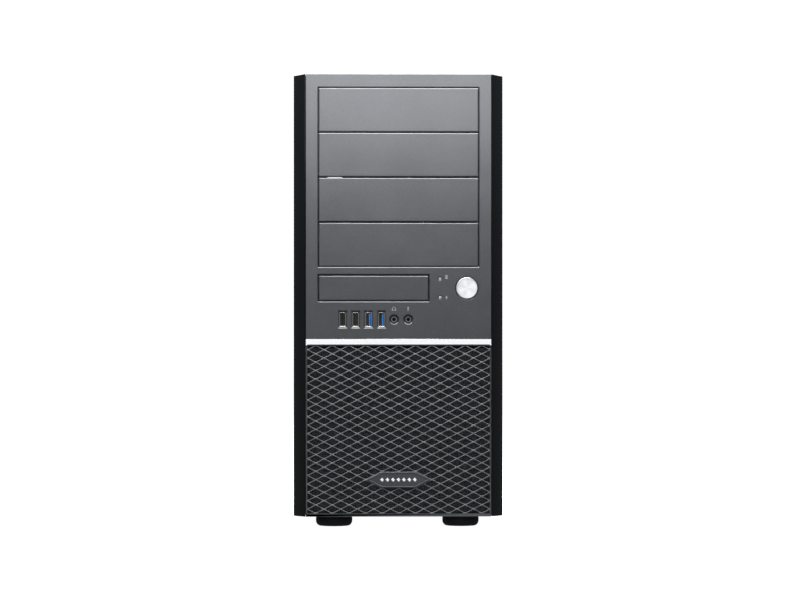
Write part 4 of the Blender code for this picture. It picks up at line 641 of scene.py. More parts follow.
def lattice_cell(centre, inner_low, inner_high):
    """One lozenge of the lattice: rings from the ribs' middle line to the opening and back.

    A ring's radius along a ray is the least distance to the lozenge's sides and the frame's sides.
    """
    half = CELL / 2
    normal = np.array([(sx / half[0], sz / half[1]) for sx in (-1, 1) for sz in (-1, 1)])
    scale = np.linalg.norm(normal, axis=1)
    side_normals, side_limits = normal / scale[:, None], 1 / scale + (normal / scale[:, None]) @ centre
    frame_normals = np.array([(1, 0), (-1, 0), (0, 1), (0, -1)], float)
    frame_limits = np.array([inner_high[0], -inner_low[0], inner_high[1], -inner_low[1]])
    normals = np.concatenate([side_normals, frame_normals])
    low = np.maximum(centre - half, inner_low)
    high = np.minimum(centre + half, inner_high)
    if (high - low).min() < 1.2:
        return None
    heart = np.clip(centre, low + 0.28 * (high - low), high - 0.28 * (high - low))
    t = np.linspace(0, 2 * math.pi, 16, endpoint=False)
    corners = [np.arctan2(half[1] * np.sin(t), half[0] * np.cos(t))]
    for edge in range(2):
        for limit in (inner_low[edge], inner_high[edge]):
            off = limit - centre[edge]
            if abs(off) < half[edge]:
                reach = half[1 - edge] * (1 - abs(off) / half[edge])
                for sign in (-1, 1):
                    spot = np.empty(2)
                    spot[edge], spot[1 - edge] = limit, centre[1 - edge] + sign * reach
                    corners.append([math.atan2(spot[1] - heart[1], spot[0] - heart[0])])
    angle = np.unique(np.round(np.concatenate(corners), 4))
    ray = np.stack([np.cos(angle), np.sin(angle)], 1)
    facing_ray = np.maximum(ray @ normals.T, 1e-9)
    rings = []
    for inset, depth, power in (
        (0.0, 0.0, None), (RIB / 2, 0.42, 9), (RIB / 2 + 0.2, RIB_DEPTH, 9), (0.0, RIB_DEPTH, None)
    ):
        limits = np.concatenate([side_limits - inset, frame_limits])
        near = facing_ray / np.maximum(limits - normals @ heart, 1e-3)
        radius = 1 / (near.max(1) if power is None else (near**power).sum(1) ** (1 / power))
        rings.append(np.column_stack([heart + ray * radius[:, None], np.full(len(angle), depth)]))
    return np.concatenate(rings), band(len(rings), len(angle))


def grille():
    """Lattice of lozenges in a slim frame with rounded upper corners."""
    x = FACE_HALF
    top, bottom = GRILLE_HIGH[2], GRILLE_LOW[2]
    inner_low, inner_high = np.array([-x + 1.3, bottom + 2.9]), np.array([x - 1.3, top - 1.1])
    columns = 6
    rows = int(round((top - bottom - 3.0) / CELL[1]))
    origin = bottom + 3.0
    parts = []
    for row in range(2 * rows + 1):
        for column in range(-columns, columns + 1):
            across = LATTICE_MIDDLE + (column + 0.5 * (1 - row % 2)) * CELL[0]
            centre = np.array([across, origin + row * CELL[1] / 2])
            cell = lattice_cell(centre, inner_low, inner_high)
            if cell:
                parts.append(facing(cell, "Y", GRILLE_LOW[1]))
    piece("grille_lattice", parts, PAINTED_LIGHT_RIBS, "front", angle=50, merge=0.01)
    outline = rectangle(-x, x, bottom, top, GRILLE_CORNER, 6)
    outline = outline[outline[:, 1] >= bottom + GRILLE_CORNER]
    outline = np.concatenate([outline, [(-x, bottom), (x, bottom)]])
    hole = rectangle(inner_low[0], inner_high[0], inner_low[1], inner_high[1])
    part = plate((outline, round_edge(5.0, 0.3)), (hole, chamfer(5.0, 0.5, 0.6)))
    piece(
        "grille_frame", [facing(part, "Y", GRILLE_LOW[1])], LATTICE, "front",
        ["front_grille"]
    )


def badge():
    """Six-sided plate with a raised border and a row of small bright lozenges."""
    low, high = node_box("badge")
    middle = (low + high) / 2
    tip, half, flat = (high[0] - low[0]) / 2, (high[2] - low[2]) / 2, 15.5
    hexagon = np.array([(tip, 0), (flat, half), (-flat, half), (-tip, 0), (-flat, -half), (flat, -half)])
    thick = high[1] - low[1]
    field = moved_in(turned_left(hexagon, True), 1.5)
    rim = plate((hexagon, chamfer(thick, 0.35, 0.35)), (field, [(0.15, 0.0), (0.0, 0.15), (0.0, thick)]))
    floor = plate((field, [(-0.1, 0.3), (-0.1, thick)]))
    parts = [facing(p, "Y", low[1], centre=middle[[0, 2]]) for p in (rim, floor)]
    piece("badge_plate", parts, GRAPHITE, "front", ["badge"])
    marks = []
    for number in range(-3, 4):
        lozenge = np.array([(2.1, 0), (0, 2.3), (-2.1, 0), (0, -2.3)])
        mark = plate((lozenge, [(0.5, 0.0), (0.0, 0.3)]))
        marks.append(facing(mark, "Y", low[1] + 0.05, centre=middle[[0, 2]] + (number * 5.1, 0)))
    piece("badge_marks", marks, SILVER, "front")


def printed_pictures():
    """Small pictures by the lamps and the round sockets, printed in a thin layer of ink."""
    def ring(at, outer, inner, steps=20):
        edge = straight(0.05)
        return facing(
            plate((circle(*at, outer, steps), edge), (circle(*at, inner, steps), edge)), "Y", FACE_Y - 0.02
        )

    def shape(at, points):
        edge = straight(0.05)
        return facing(plate((np.asarray(points, float), edge)), "Y", FACE_Y - 0.02, centre=at)

    parts = []
    drive = LAMPS[1] + (5.9, 1.6)
    for level in (-1.2, 0.0, 1.2):
        parts.append(shape(drive + (0, level), rectangle(-1.1, 1.1, -0.4, 0.4, 0.38)))
    power = LAMPS[0] + (5.9, -0.6)
    parts.append(
        shape(
            power, [(-0.2, 1.7), (0.9, 1.7), (0.3, 0.4), (1.1, 0.4), (-0.6, -1.7), (-0.1, -0.2), (-0.9, -0.2)]
        )
    )
    for number, at in enumerate(JACKS):
        above = at + (-0.2, 10.0)
        if number == 0:
            parts.append(ring(above, 1.7, 1.3))
            parts += [shape(above + (s * 1.5, -0.9), rectangle(-0.45, 0.45, -0.9, 0.5, 0.3)) for s in (-1, 1)]
        else:
            parts.append(shape(above + (0, 0.4), rectangle(-0.6, 0.6, -1.2, 1.2, 0.55)))
            parts.append(shape(above + (0, -1.7), rectangle(-0.9, 0.9, -0.2, 0.2)))
    piece("printed_pictures", parts, PALE_INK, "front", angle=20)


def foot(name):
    """Turned rubber foot with a rounded lower edge and a shallow groove."""
    low, high = node_box(name)
    centre, r = ((low + high) / 2)[:2], (high[0] - low[0]) / 2
    h = high[2]
    turn = np.linspace(0, math.pi / 2, 9)
    profile = [(0.0, 0.0), (r - 0.3, 0.0), (r, 0.3), (r, 2.2), (r - 0.25, 2.5), (r - 0.25, 2.9), (r, 3.2)]
    profile += [(r - 4.4 * (1 - math.cos(t)), h - 5.2 + 5.2 * math.sin(t)) for t in turn]
    profile += [(9.0, h), (8.4, h - 0.8), (0.0, h - 0.8)]
    part = facing(turned(profile, 64), "Z", h, -1, centre=centre)
    piece(name + "_rubber", [part], RUBBER, "chassis", [name])


# ---------------------------------------------------------------- finishes of the body and its contents
# Bare aluminium extrusion: bright, with fine drawing lines along its length.
EXTRUDED = grained("bare_extrusion", "#b4b7ba", "#cfd2d4", (0.28, 0.42), 0.9, 0.006, 9.0, 1.0, (1, 1, 0.06))
# Die-cast aluminium lid: satin and faintly pebbled.
CAST = grained("cast_aluminium", "#9a9c9f", "#b0b2b5", (0.36, 0.48), 0.7, 0.012, cloud=14.0, metallic=1.0)
# Glass-filled black plastic of the fans: satin, with slow flow marks.
FAN_BLACK = grained("glass_filled_black", "#17181a", "#212225", (0.30, 0.42), 0.9, 0.006, cloud=22.0)
# Gold on edge contacts.
GOLD = grained("gold_flash", "#c79a3c", "#dcb35a", (0.20, 0.32), 0.5, 0.001, cloud=2.0, metallic=1.0)
# Epoxy body of a chip: dull black, slightly speckled.
EPOXY = grained("moulded_epoxy", "#141414", "#1f1f20", (0.50, 0.62), 0.3, 0.006, cloud=3.0)
# Aluminium can of a capacitor: bright and satin.
CAN = grained("capacitor_can", "#b9bcc0", "#d4d7da", (0.22, 0.34), 0.5, 0.002, cloud=3.0, metallic=1.0)
# Grey ferrite block of a choke.
FERRITE = grained("ferrite", "#3a3b3d", "#4a4b4d", (0.55, 0.70), 0.4, 0.012, cloud=4.0)
# Soft black sleeve of a lead.
SLEEVE = grained("woven_sleeve", "#0d0d0e", "#232325", (0.50, 0.70), 0.8, 0.120, cloud=2.2)
# Moulded inserts of the rear sockets.
PASTEL = {
    "green": grained("green_insert", "#5fae62", "#73c176", (0.32, 0.44), 0.8, 0.003, cloud=6.0),
    "blue": grained("blue_insert", "#4f86c9", "#6599d8", (0.32, 0.44), 0.8, 0.003, cloud=6.0),
    "pink": grained("pink_insert", "#c9718f", "#da86a2", (0.32, 0.44), 0.8, 0.003, cloud=6.0),
    "violet": grained("violet_insert", "#6d5aa8", "#7f6dbb", (0.32, 0.44), 0.8, 0.003, cloud=6.0),
}


def solder_mask():
    """Green lacquer over copper: thin tracks about 0.8 mm apart in two directions, in irregular fields."""
    made, tree, shader, place = new_finish("solder_mask", Roughness=0.36)
    fields = add(tree, "TexVoronoi", {"Vector": place, "Scale": METRE / 26.0})
    split = add(tree, "SeparateXYZ", {0: fields.outputs["Color"]}).outputs[0]
    tracks = []
    for lean in (math.radians(45), 0.0):
        turn = add(tree, "Mapping", {0: place, 2: (lean, 0, 0)}).outputs[0]
        wave = add(
            tree, "TexWave", {"Vector": turn, "Scale": METRE / 1.6 / 20, "Distortion": 0.6},
            bands_direction="Z"
        )
        tracks.append(ranged(tree, wave.outputs["Fac"], 0.72, 0.80, 0.0, 1.0))
    pick = ranged(tree, split, 0.45, 0.50, 0.0, 1.0)
    chosen = add(tree, "Mix", {0: pick, 2: tracks[0], 3: tracks[1]}, data_type="FLOAT").outputs[0]
    ground = ranged(tree, split, 0.70, 0.72, 0.0, 0.35)
    share = add(tree, "Math", {0: chosen, 1: ground}, operation="MAXIMUM").outputs[0]
    tree.links.new(mixed(tree, share, "#0b2b1a", "#1b5a35"), shader.inputs["Base Color"])
    bump = add(tree, "Bump", {"Strength": 1.0, "Distance": 0.03 / METRE, "Height": share})
    tree.links.new(bump.outputs[0], shader.inputs["Normal"])
    return made


MASK = solder_mask()


# ---------------------------------------------------------------- sheet metal and other plain bodies
def refined(name, finish, radius=0.3, rounds=0):
    """The node's own shape with its sharp edges rounded over a radius, or wholly smoothed in rounds."""
    mesh = NODES[name].data.copy()
    mesh.name = name + "_refined"
    bm = bmesh.new()
    bm.from_mesh(mesh)
    bmesh.ops.remove_doubles(bm, verts=bm.verts, dist=0.001 / METRE)
    if not rounds:
        bmesh.ops.dissolve_limit(bm, angle_limit=math.radians(0.5), verts=bm.verts, edges=bm.edges)
    bm.to_mesh(mesh)
    bm.free()
    if rounds:
        mesh.shade_smooth()
    else:
        shade(mesh, 30)
    mesh.materials.clear()
    mesh.materials.append(finish)
    made = bpy.data.objects.new(name + "_refined", mesh)
    bpy.context.scene.collection.objects.link(made)
    if rounds:
        smooth = made.modifiers.new("smooth", "SUBSURF")
        smooth.levels = smooth.render_levels = rounds
    else:
        edge = made.modifiers.new("edge", "BEVEL")
        edge.width = radius / METRE
        edge.segments = 2
        edge.limit_method = "ANGLE"
        edge.angle_limit = math.radians(30)
    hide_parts(name)
    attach(made, BODY_OF[name])


def cross_outline(half, arm):
    """Plus-shaped recess of a screw, anticlockwise."""
    corner = np.array([(half, -arm), (half, arm), (arm, arm)])
    turns = [
        np.array([[math.cos(q), -math.sin(q)], [math.sin(q), math.cos(q)]])
        for q in np.radians([0, 90, 180, 270])
    ]
    return np.concatenate([corner @ turn.T for turn in turns])


def screw_head(axis, at, into, centre, radius=3.2, height=1.7):
    """Domed head with a cross recess; at is the plane of its crown.

    The crown is flat out to 0.55 of the radius. At a share t of the way from there to the rim, it has
    dropped by the height times t squared.
    """
    dome = [(radius * 0.45, 0.0)] + [
        (radius * 0.45 * (1 - t), height * t**2) for t in (0.35, 0.65, 0.85, 1.0)
    ]
    cross = cross_outline(radius * 0.38, radius * 0.11)
    recess = [(0.0, 0.0), (-0.08, height * 0.7)]
    head = plate((circle(0, 0, radius, 20), dome), (cross, recess))
    floor = set_back(plate((circle(0, 0, radius * 0.5, 12), straight(0.2))), height * 0.6)
    return [facing(part, axis, at, into, centre) for part in (head, floor)]


def rear_screws():
    """Screws of the rear fan and the power supply."""
    y = REAR_Y + 1.6
    low, high = node_box("rear_fan_frame")
    middle, reach = ((low + high) / 2)[[0, 2]], 52.5
    parts = []
    for u in (-reach, reach):
        for v in (-reach, reach):
            parts += screw_head("Y", y, -1, middle + (u, v))
    low, high = node_box("psu_housing")
    places = [(low[0] + 6, low[2] + 16), (high[0] - 6, low[2] + 6), (low[0] + 6, high[2] - 6)]
    for place in (*places, (high[0] - 30, high[2] - 6)):
        parts += screw_head("Y", y, -1, place)
    piece("rear_screws", parts, ZINC, "chassis", angle=35)


def slot_covers():
    """Blank covers over the lower card slots: a pressed border round two rows of small lozenge vents."""
    low, high = node_box("graphics_card")
    x0, x1 = low[0] + 4.0, high[0] - 3.2
    parts, vents = [], []
    for number in range(1, 6):
        z = FIRST_SLOT_Z - number * SLOT_PITCH
        edge = rectangle(x0, x1, z - 8.6, z + 8.6, 1.2, 4), round_edge(0.8, 0.3)
        border = rectangle(x0 + 2.2, x1 - 2.2, z - 6.3, z + 6.3, 1.0, 4)
        holes = []
        for column in range(14):
            for row in (-1, 1):
                spot = np.array([x0 + 8.0 + column * (x1 - x0 - 16.0) / 13, z + row * 2.9])
                holes.append((spot + np.array([(2.6, 0), (0, 1.7), (-2.6, 0), (0, -1.7)]), straight(0.3)))
        frame_part = plate(edge, (border, [(0.15, 0.0), (0.0, 0.15), (0.0, 0.45)]))
        parts.append(facing(frame_part, "Y", REAR_Y + 0.8, -1))
        parts.append(facing(plate((moved_in(border, -0.05), straight(0.3)), *holes), "Y", REAR_Y + 0.35, -1))
        parts += screw_head("Y", REAR_Y + 2.0, -1, (x1 + 4.4, z + 5.2), 2.6, 1.3)
        # A thin black sheet just behind the vent holes is painted shade, so the holes look dark as if open to
        # the shaded inside.
        vents.append(facing(plate((border, straight(0.05))), "Y", REAR_Y + 0.06, -1))
    piece("slot_covers", parts, ZINC, "chassis")
    piece("slot_vent_painted_shade", vents, EPOXY, "chassis")


def thumbscrew(name):
    """Knurled head with a cross recess, on a threaded shank.

    Where the head is knurled, its radius is less by 0.22 mm times the size of sin(18 times the angle).
    The shank's radius goes from 1.68 to 1.35 mm and back every 0.7 mm.
    """
    low, high = node_box(name)
    centre = ((low + high) / 2)[[0, 2]]
    radius, head = (high[0] - low[0]) / 2, 6.5
    steps = 144
    angle = np.linspace(0, 2 * math.pi, steps, endpoint=False)
    knurl = 0.22 * np.abs(np.sin(angle * 18))
    rows = []
    profile = [(1.7, 0.0, 0), (1.0, 0.15, 0), (0.45, 0.6, 0.2), (0.25, 1.0, 1), (0.25, 4.6, 1), (0.5, 4.9, 0)]
    profile += [(0.5, 5.3, 0), (0.05, 5.5, 0), (0.05, head - 0.2, 0), (0.3, head, 0), (radius - 1.5, head, 0)]
    for inset, depth, share in profile:
        ring = radius - inset - share * knurl
        rows.append(np.column_stack([ring * np.cos(angle), ring * np.sin(angle), np.full(steps, depth)]))
    side = np.concatenate(rows), band(len(rows), steps)
    crown = plate(
        (circle(0, 0, radius - 1.7, steps), straight(0.5)),
        (cross_outline(2.6, 0.65), [(0.05, 0.0), (0.0, 0.1), (-0.1, 1.6)]),
    )
    floor = set_back(plate((circle(0, 0, 3.2, 24), straight(0.3))), 1.4)
    length = high[1] - low[1]
    thread = [(1.5, head - 0.5)]
    for turn in np.arange(head, length - 1.0, 0.7):
        thread += [(1.68, turn + 0.2), (1.35, turn + 0.55)]
    thread += [(1.2, length - 0.4), (0.9, length), (0.0, length)]
    parts = [facing(p, "Y", high[1], -1, centre) for p in (side, crown, floor, turned(thread, 24))]
    piece(name + "_knurled", parts, ZINC, name, [name], angle=35)


# ---------------------------------------------------------------- fans
def fan_housing(name, axis, size):
    """Two square flanges with screw holes, a round barrel between them, and a motor mount on four arms."""
    low, high = node_box(name)
    k = "XYZ".index(axis)
    centre = np.delete((low + high) / 2, k)
    depth = high[k] - low[k]
    duct, half, screw = 0.48 * size, size / 2, 0.4375 * size
    edge = rectangle(-half, half, -half, half, 0.05 * size, 6)
    parts = []
    for at in (0.0, depth - 4.0):
        flare = [(-1.4, 0.0), (-0.4, 0.6), (0.0, 1.8), (0.0, 4.0)]
        if at > 0:
            flare = [(0.0, 0.0), (0.0, 2.2), (-0.4, 3.4), (-1.4, 4.0)]
        holes = [
            (circle(u, v, 2.15, 16), chamfer(4.0, 0.4, 0.4, 0.06))
            for u in (-screw, screw)
            for v in (-screw, screw)
        ]
        flange = plate((edge, round_edge(4.0, 0.4, 0.4)), (circle(0, 0, duct, 96), flare), *holes)
        parts.append(set_back(flange, at))
    parts.append(
        turned(
            [(duct, 1.9), (duct + 1.6, 2.2), (duct + 1.6, depth - 2.2), (duct, depth - 1.9), (duct, 1.9)], 96
        )
    )
    for u in (-screw, screw):
        for v in (-screw, screw):
            post = [(2.15, 3.0), (4.2, 3.0), (4.2, depth - 3.0), (2.15, depth - 3.0), (2.15, 3.0)]
            parts.append(set_back(turned(post, 20), 0, (u, v)))
    hub = 0.165 * size + 1.2
    mount = [
        (0.0, depth - 3.9), (hub - 0.6, depth - 3.9), (hub, depth - 3.4), (hub, depth - 1.1),
        (hub - 0.5, depth - 0.6)
    ]
    parts.append(
        turned(mount + [(hub * 0.55, depth - 0.6), (hub * 0.5, depth - 0.8), (0.0, depth - 0.8)], 64)
    )
    for q in range(4):
        turn = math.radians(45 + 90 * q)
        spin = np.array([[math.cos(turn), math.sin(turn)], [-math.sin(turn), math.cos(turn)]])
        arm = rectangle(hub - 1.0, duct + 0.8, -1.9, 1.9) @ spin
        parts.append(set_back(plate((arm, round_edge(3.3, 0.5, 0.5))), depth - 4.0))
    parts = [facing(p, axis, low[k], 1, centre) for p in parts]
    piece(name + "_housing", parts, FAN_BLACK, "chassis", [name])


def fan_wheel(name, axis, centre, start, radius, hub, height, blades=7):
    """Hub with a rolled rim and swept blades.

    A blade's section at a share t outwards is a flat ellipse carried round a loop angle s: its place
    along the chord is cos(s) / 2, its thickness goes with sin(s) and thins outwards, it climbs the
    height along the chord, bows by a square law, and leans 0.35 radians forward by the tip.
    """
    shell = [
        (0.0, 0.0), (hub - 2.2, 0.0), (hub - 0.9, 0.25), (hub - 0.2, 0.9), (hub, 2.0), (hub, height),
        (hub - 1.2, height)
    ]
    shell += [(hub - 1.2, 2.5), (0.0, 2.5)]
    parts = [turned(shell, 72)]
    parts.append(turned([(0.0, -0.12), (hub * 0.66, -0.12), (hub * 0.7, 0.02), (0.0, 0.02)], 48))
    rows, columns = 12, 20
    t = np.linspace(0, 1, rows)[:, None]
    s = np.linspace(0, 2 * math.pi, columns, endpoint=False)[None, :]
    chord = 0.72 * 2 * math.pi / blades
    along = np.cos(s) / 2 + 0 * t
    r = hub * 0.96 + (radius - hub * 0.96) * t
    thick = 1.5 * (1 - 0.45 * t)
    for blade in range(blades):
        heading = 2 * math.pi * blade / blades
        angle = heading + chord * along * (1 - 0.10 * (1 - t)) + 0.35 * t
        depth = height * (0.5 + 0.76 * along * (1 - 0.25 * t)) + thick / 2 * np.sin(s)
        depth = depth + 0.05 * height * (1 - 4 * along**2)
        points = np.stack(
            [r * np.cos(angle), r * np.sin(angle), np.clip(depth, 0.1, height - 0.1)], -1
        ).reshape(-1, 3)
        faces = band(rows, columns)
        faces += [list(range(columns)), list(range((rows - 1) * columns, rows * columns))]
        parts.append((points, faces))
    parts = [facing(p, axis, start, 1, centre) for p in parts]
    piece(name + "_wheel", parts, FAN_BLACK, name, [name])


def fans():
    """Housing and wheel of each fan; the power supply's own housing holds its wheel."""
    for name, axis, size in (("rear_fan", "Y", 120.0), ("front_fan", "Y", 120.0), ("cpu_fan", "X", 92.0)):
        fan_housing(name + "_frame", axis, size)
        low, high = node_box(name + "_frame")
        k = "XYZ".index(axis)
        centre = np.delete((low + high) / 2, k)
        fan_wheel(
            name + "_rotor", axis, centre, low[k] + 1.0, 0.462 * size, 0.165 * size, high[k] - low[k] - 6.0
        )
    low, high = node_box("psu_housing")
    centre = ((low + high) / 2)[:2]
    wheel = node_box("psu_fan_rotor")
    fan_wheel("psu_fan_rotor", "Z", centre, wheel[0][2], 53.8, 19.0, wheel[1][2] - wheel[0][2])


# ---------------------------------------------------------------- rear sockets
def rear_sockets():
    """Sockets on the board's rear edge.

    From the bottom: sound, network with a data pair, data pair, screen, data pair, round pair.
    """
    low, high = node_box("rear_io_ports")
    back, base, board = high[1], low[2], high[0]
    shells, plastic, blue, gold = [], [], [], []
    inserts = {name: [] for name in PASTEL}

    def shell(z0, z1, reach, holes, deep=12.0):
        """Metal can with holes in its face, and a dark block inside it."""
        outline = rectangle(board - reach, board, z0, z1, 0.6, 3)
        edges = [(outline, round_edge(deep, 0.3))] + [(hole, round_edge(deep, 0.25)) for hole in holes]
        shells.append(facing(plate(*edges), "Y", back, -1))
        plastic.append(
            block(
                (board - reach + 0.3, back - deep - 6.0, z0 + 0.3),
                (board - 0.2, back - deep + 0.5, z1 - 0.3), 0.3
            )
        )

    def data_pair(z0, width, x0, tongue):
        """Two upright sockets side by side: their holes, with a tongue added for each."""
        holes = []
        for x in (x0, x0 + 7.6):
            hole = rectangle(x, x + 5.2, z0 + 1.4, z0 + width - 1.4, 0.5, 3)
            holes.append(hole)
            tongue.append(
                block((x + 1.9, back - 11.0, z0 + 2.0), (x + 3.5, back - 1.2, z0 + width - 2.0), 0.25)
            )
        return holes

    network = rectangle(board - 28.4, board - 16.8, base + 19.6, base + 33.4, 0.5, 3)
    shell(base + 18.0, base + 35.0, 30.0, data_pair(base + 18.0, 17.0, board - 13.8, blue) + [network])
    for step in range(8):
        z = base + 22.0 + step * 1.27
        gold.append(block((board - 27.0, back - 9.0, z), (board - 18.5, back - 3.0, z + 0.5), 0.1))
    shell(base + 40.0, base + 56.0, 16.0, data_pair(base + 40.0, 16.0, board - 14.6, plastic))
    shell(base + 104.0, base + 120.0, 16.0, data_pair(base + 104.0, 16.0, board - 14.6, blue))
    z0, z1, reach = base, base + 14.0, 34.0
    plastic.append(block((board - reach, back - 14.0, z0), (board, back - 1.2, z1), 0.4))
    for number, name in enumerate(("blue", "green", "pink")):
        at = (board - 6.0 - number * 11.0, (z0 + z1) / 2)
        ring = [(1.85, 9.0), (1.85, 0.6), (2.3, 0.1), (3.6, 0.0), (4.2, 0.3), (4.6, 1.2), (4.6, 2.0)]
        inserts[name].append(facing(turned(ring, 40), "Y", back, -1, at))
        gold.append(facing(turned([(1.84, 1.5), (1.7, 2.5), (1.7, 8.0), (0.0, 8.0)], 24), "Y", back, -1, at))
    z0, z1 = base + 126.0, base + 141.0
    for number, name in enumerate(("violet", "green")):
        at = (board - 7.4 - number * 14.6, (z0 + z1) / 2)
        ring = [(4.4, 8.0), (4.4, 1.0), (4.7, 0.3), (5.4, 0.0), (6.2, 0.2), (6.6, 1.0), (6.6, 12.0)]
        inserts[name].append(facing(turned(ring, 48), "Y", back, -1, at))
        plastic.append(
            facing(
                turned([(4.5, 3.0), (0.0, 3.0), (0.0, 6.0), (4.5, 6.0), (4.5, 3.0)], 32), "Y", back, -1, at
            )
        )
    z0, z1 = base + 60.0, base + 100.0
    middle = (board - 6.25, (z0 + z1) / 2)
    shells.append(
        facing(
            plate((rectangle(board - 12.5, board, z0, z1, 0.8, 3), round_edge(1.2, 0.3))), "Y", back - 0.8, -1
        )
    )
    frame_outline = rectangle(-4.6, 4.6, -12.6, 12.6, 1.6, 5)
    wall = plate((moved_in(frame_outline, -0.6), round_edge(5.0, 0.2)), (frame_outline, straight(5.0)))
    shells.append(facing(wall, "Y", back + 0.2, -1, middle))
    screen = []
    for row in (-2.4, 0.0, 2.4):
        for step in range(8):
            screen.append((circle(row, -9.6 + 2.74 * step, 0.55, 8), straight(1.5)))
    field = plate((frame_outline, straight(3.0)), *screen)
    inserts["blue"].append(facing(field, "Y", back - 0.6, -1, middle))
    for sign in (-1, 1):
        nut = plate(
            (circle(0, sign * 16.4, 2.6, 6), round_edge(4.0, 0.3)),
            (circle(0, sign * 16.4, 1.3, 16), straight(3.0))
        )
        shells.append(facing(nut, "Y", back + 0.6, -1, middle))
    piece("rear_shells", shells, NICKEL, "chassis", ["rear_io_ports"])
    piece("rear_inserts_black", plastic, NYLON, "chassis")
    piece("rear_tongues_blue", blue, BLUE_NYLON, "chassis")
    piece("rear_contacts", gold, GOLD, "chassis")
    for name, parts in inserts.items():
        piece(f"rear_inserts_{name}", parts, PASTEL[name], "chassis")


# ---------------------------------------------------------------- mainboard
def on_board(y0, y1, z0, z1, height, profile=None, radius=0.4):
    """Part standing on the mainboard, its crown away from the board."""
    outline = rectangle(y0, y1, z0, z1, radius, 2)
    part = plate((outline, profile or round_edge(height, min(0.3, height / 3))))
    return facing(part, "X", BOARD_FACE - height, 1)


def upright(y, z, radius, height, steps=24):
    """Capacitor can standing on the board, with a rolled crown and a waist near its foot."""
    profile = [
        (0.0, 0.25), (radius - 0.9, 0.25), (radius - 0.6, 0.0), (radius - 0.2, 0.05), (radius, 0.35),
        (radius, height - 1.6)
    ]
    profile += [(radius - 0.35, height - 1.3), (radius, height - 1.0), (radius, height), (0.0, height)]
    return facing(turned(profile, steps), "X", BOARD_FACE - height, 1, (y, z))


def socket_row(y0, y1, z0, z1, height, rows, columns):
    """Lead socket: a block with a grid of square holes in its crown."""
    holes = []
    dy, dz = (y1 - y0 - 1.2) / columns, (z1 - z0 - 1.2) / rows
    for i in range(columns):
        for j in range(rows):
            u, v = y0 + 0.6 + i * dy, z0 + 0.6 + j * dz
            holes.append((rectangle(u + 0.4, u + dy - 0.4, v + 0.4, v + dz - 0.4), straight(height - 1.0)))
    part = plate((rectangle(y0, y1, z0, z1, 0.4, 2), round_edge(height, 0.3)), *holes)
    return facing(part, "X", BOARD_FACE - height, 1)


def finned(y0, y1, z0, z1, height, fins, base=3.0):
    """Heatsink: a base slab and upright fins; the fins run along Z."""
    parts = [on_board(y0, y1, z0, z1, base)]
    pitch = (y1 - y0) / fins
    for i in range(fins):
        y = y0 + (i + 0.25) * pitch
        parts.append(on_board(y, y + 0.5 * pitch, z0, z1, height, round_edge(height, 0.15), 0.1))
    return parts


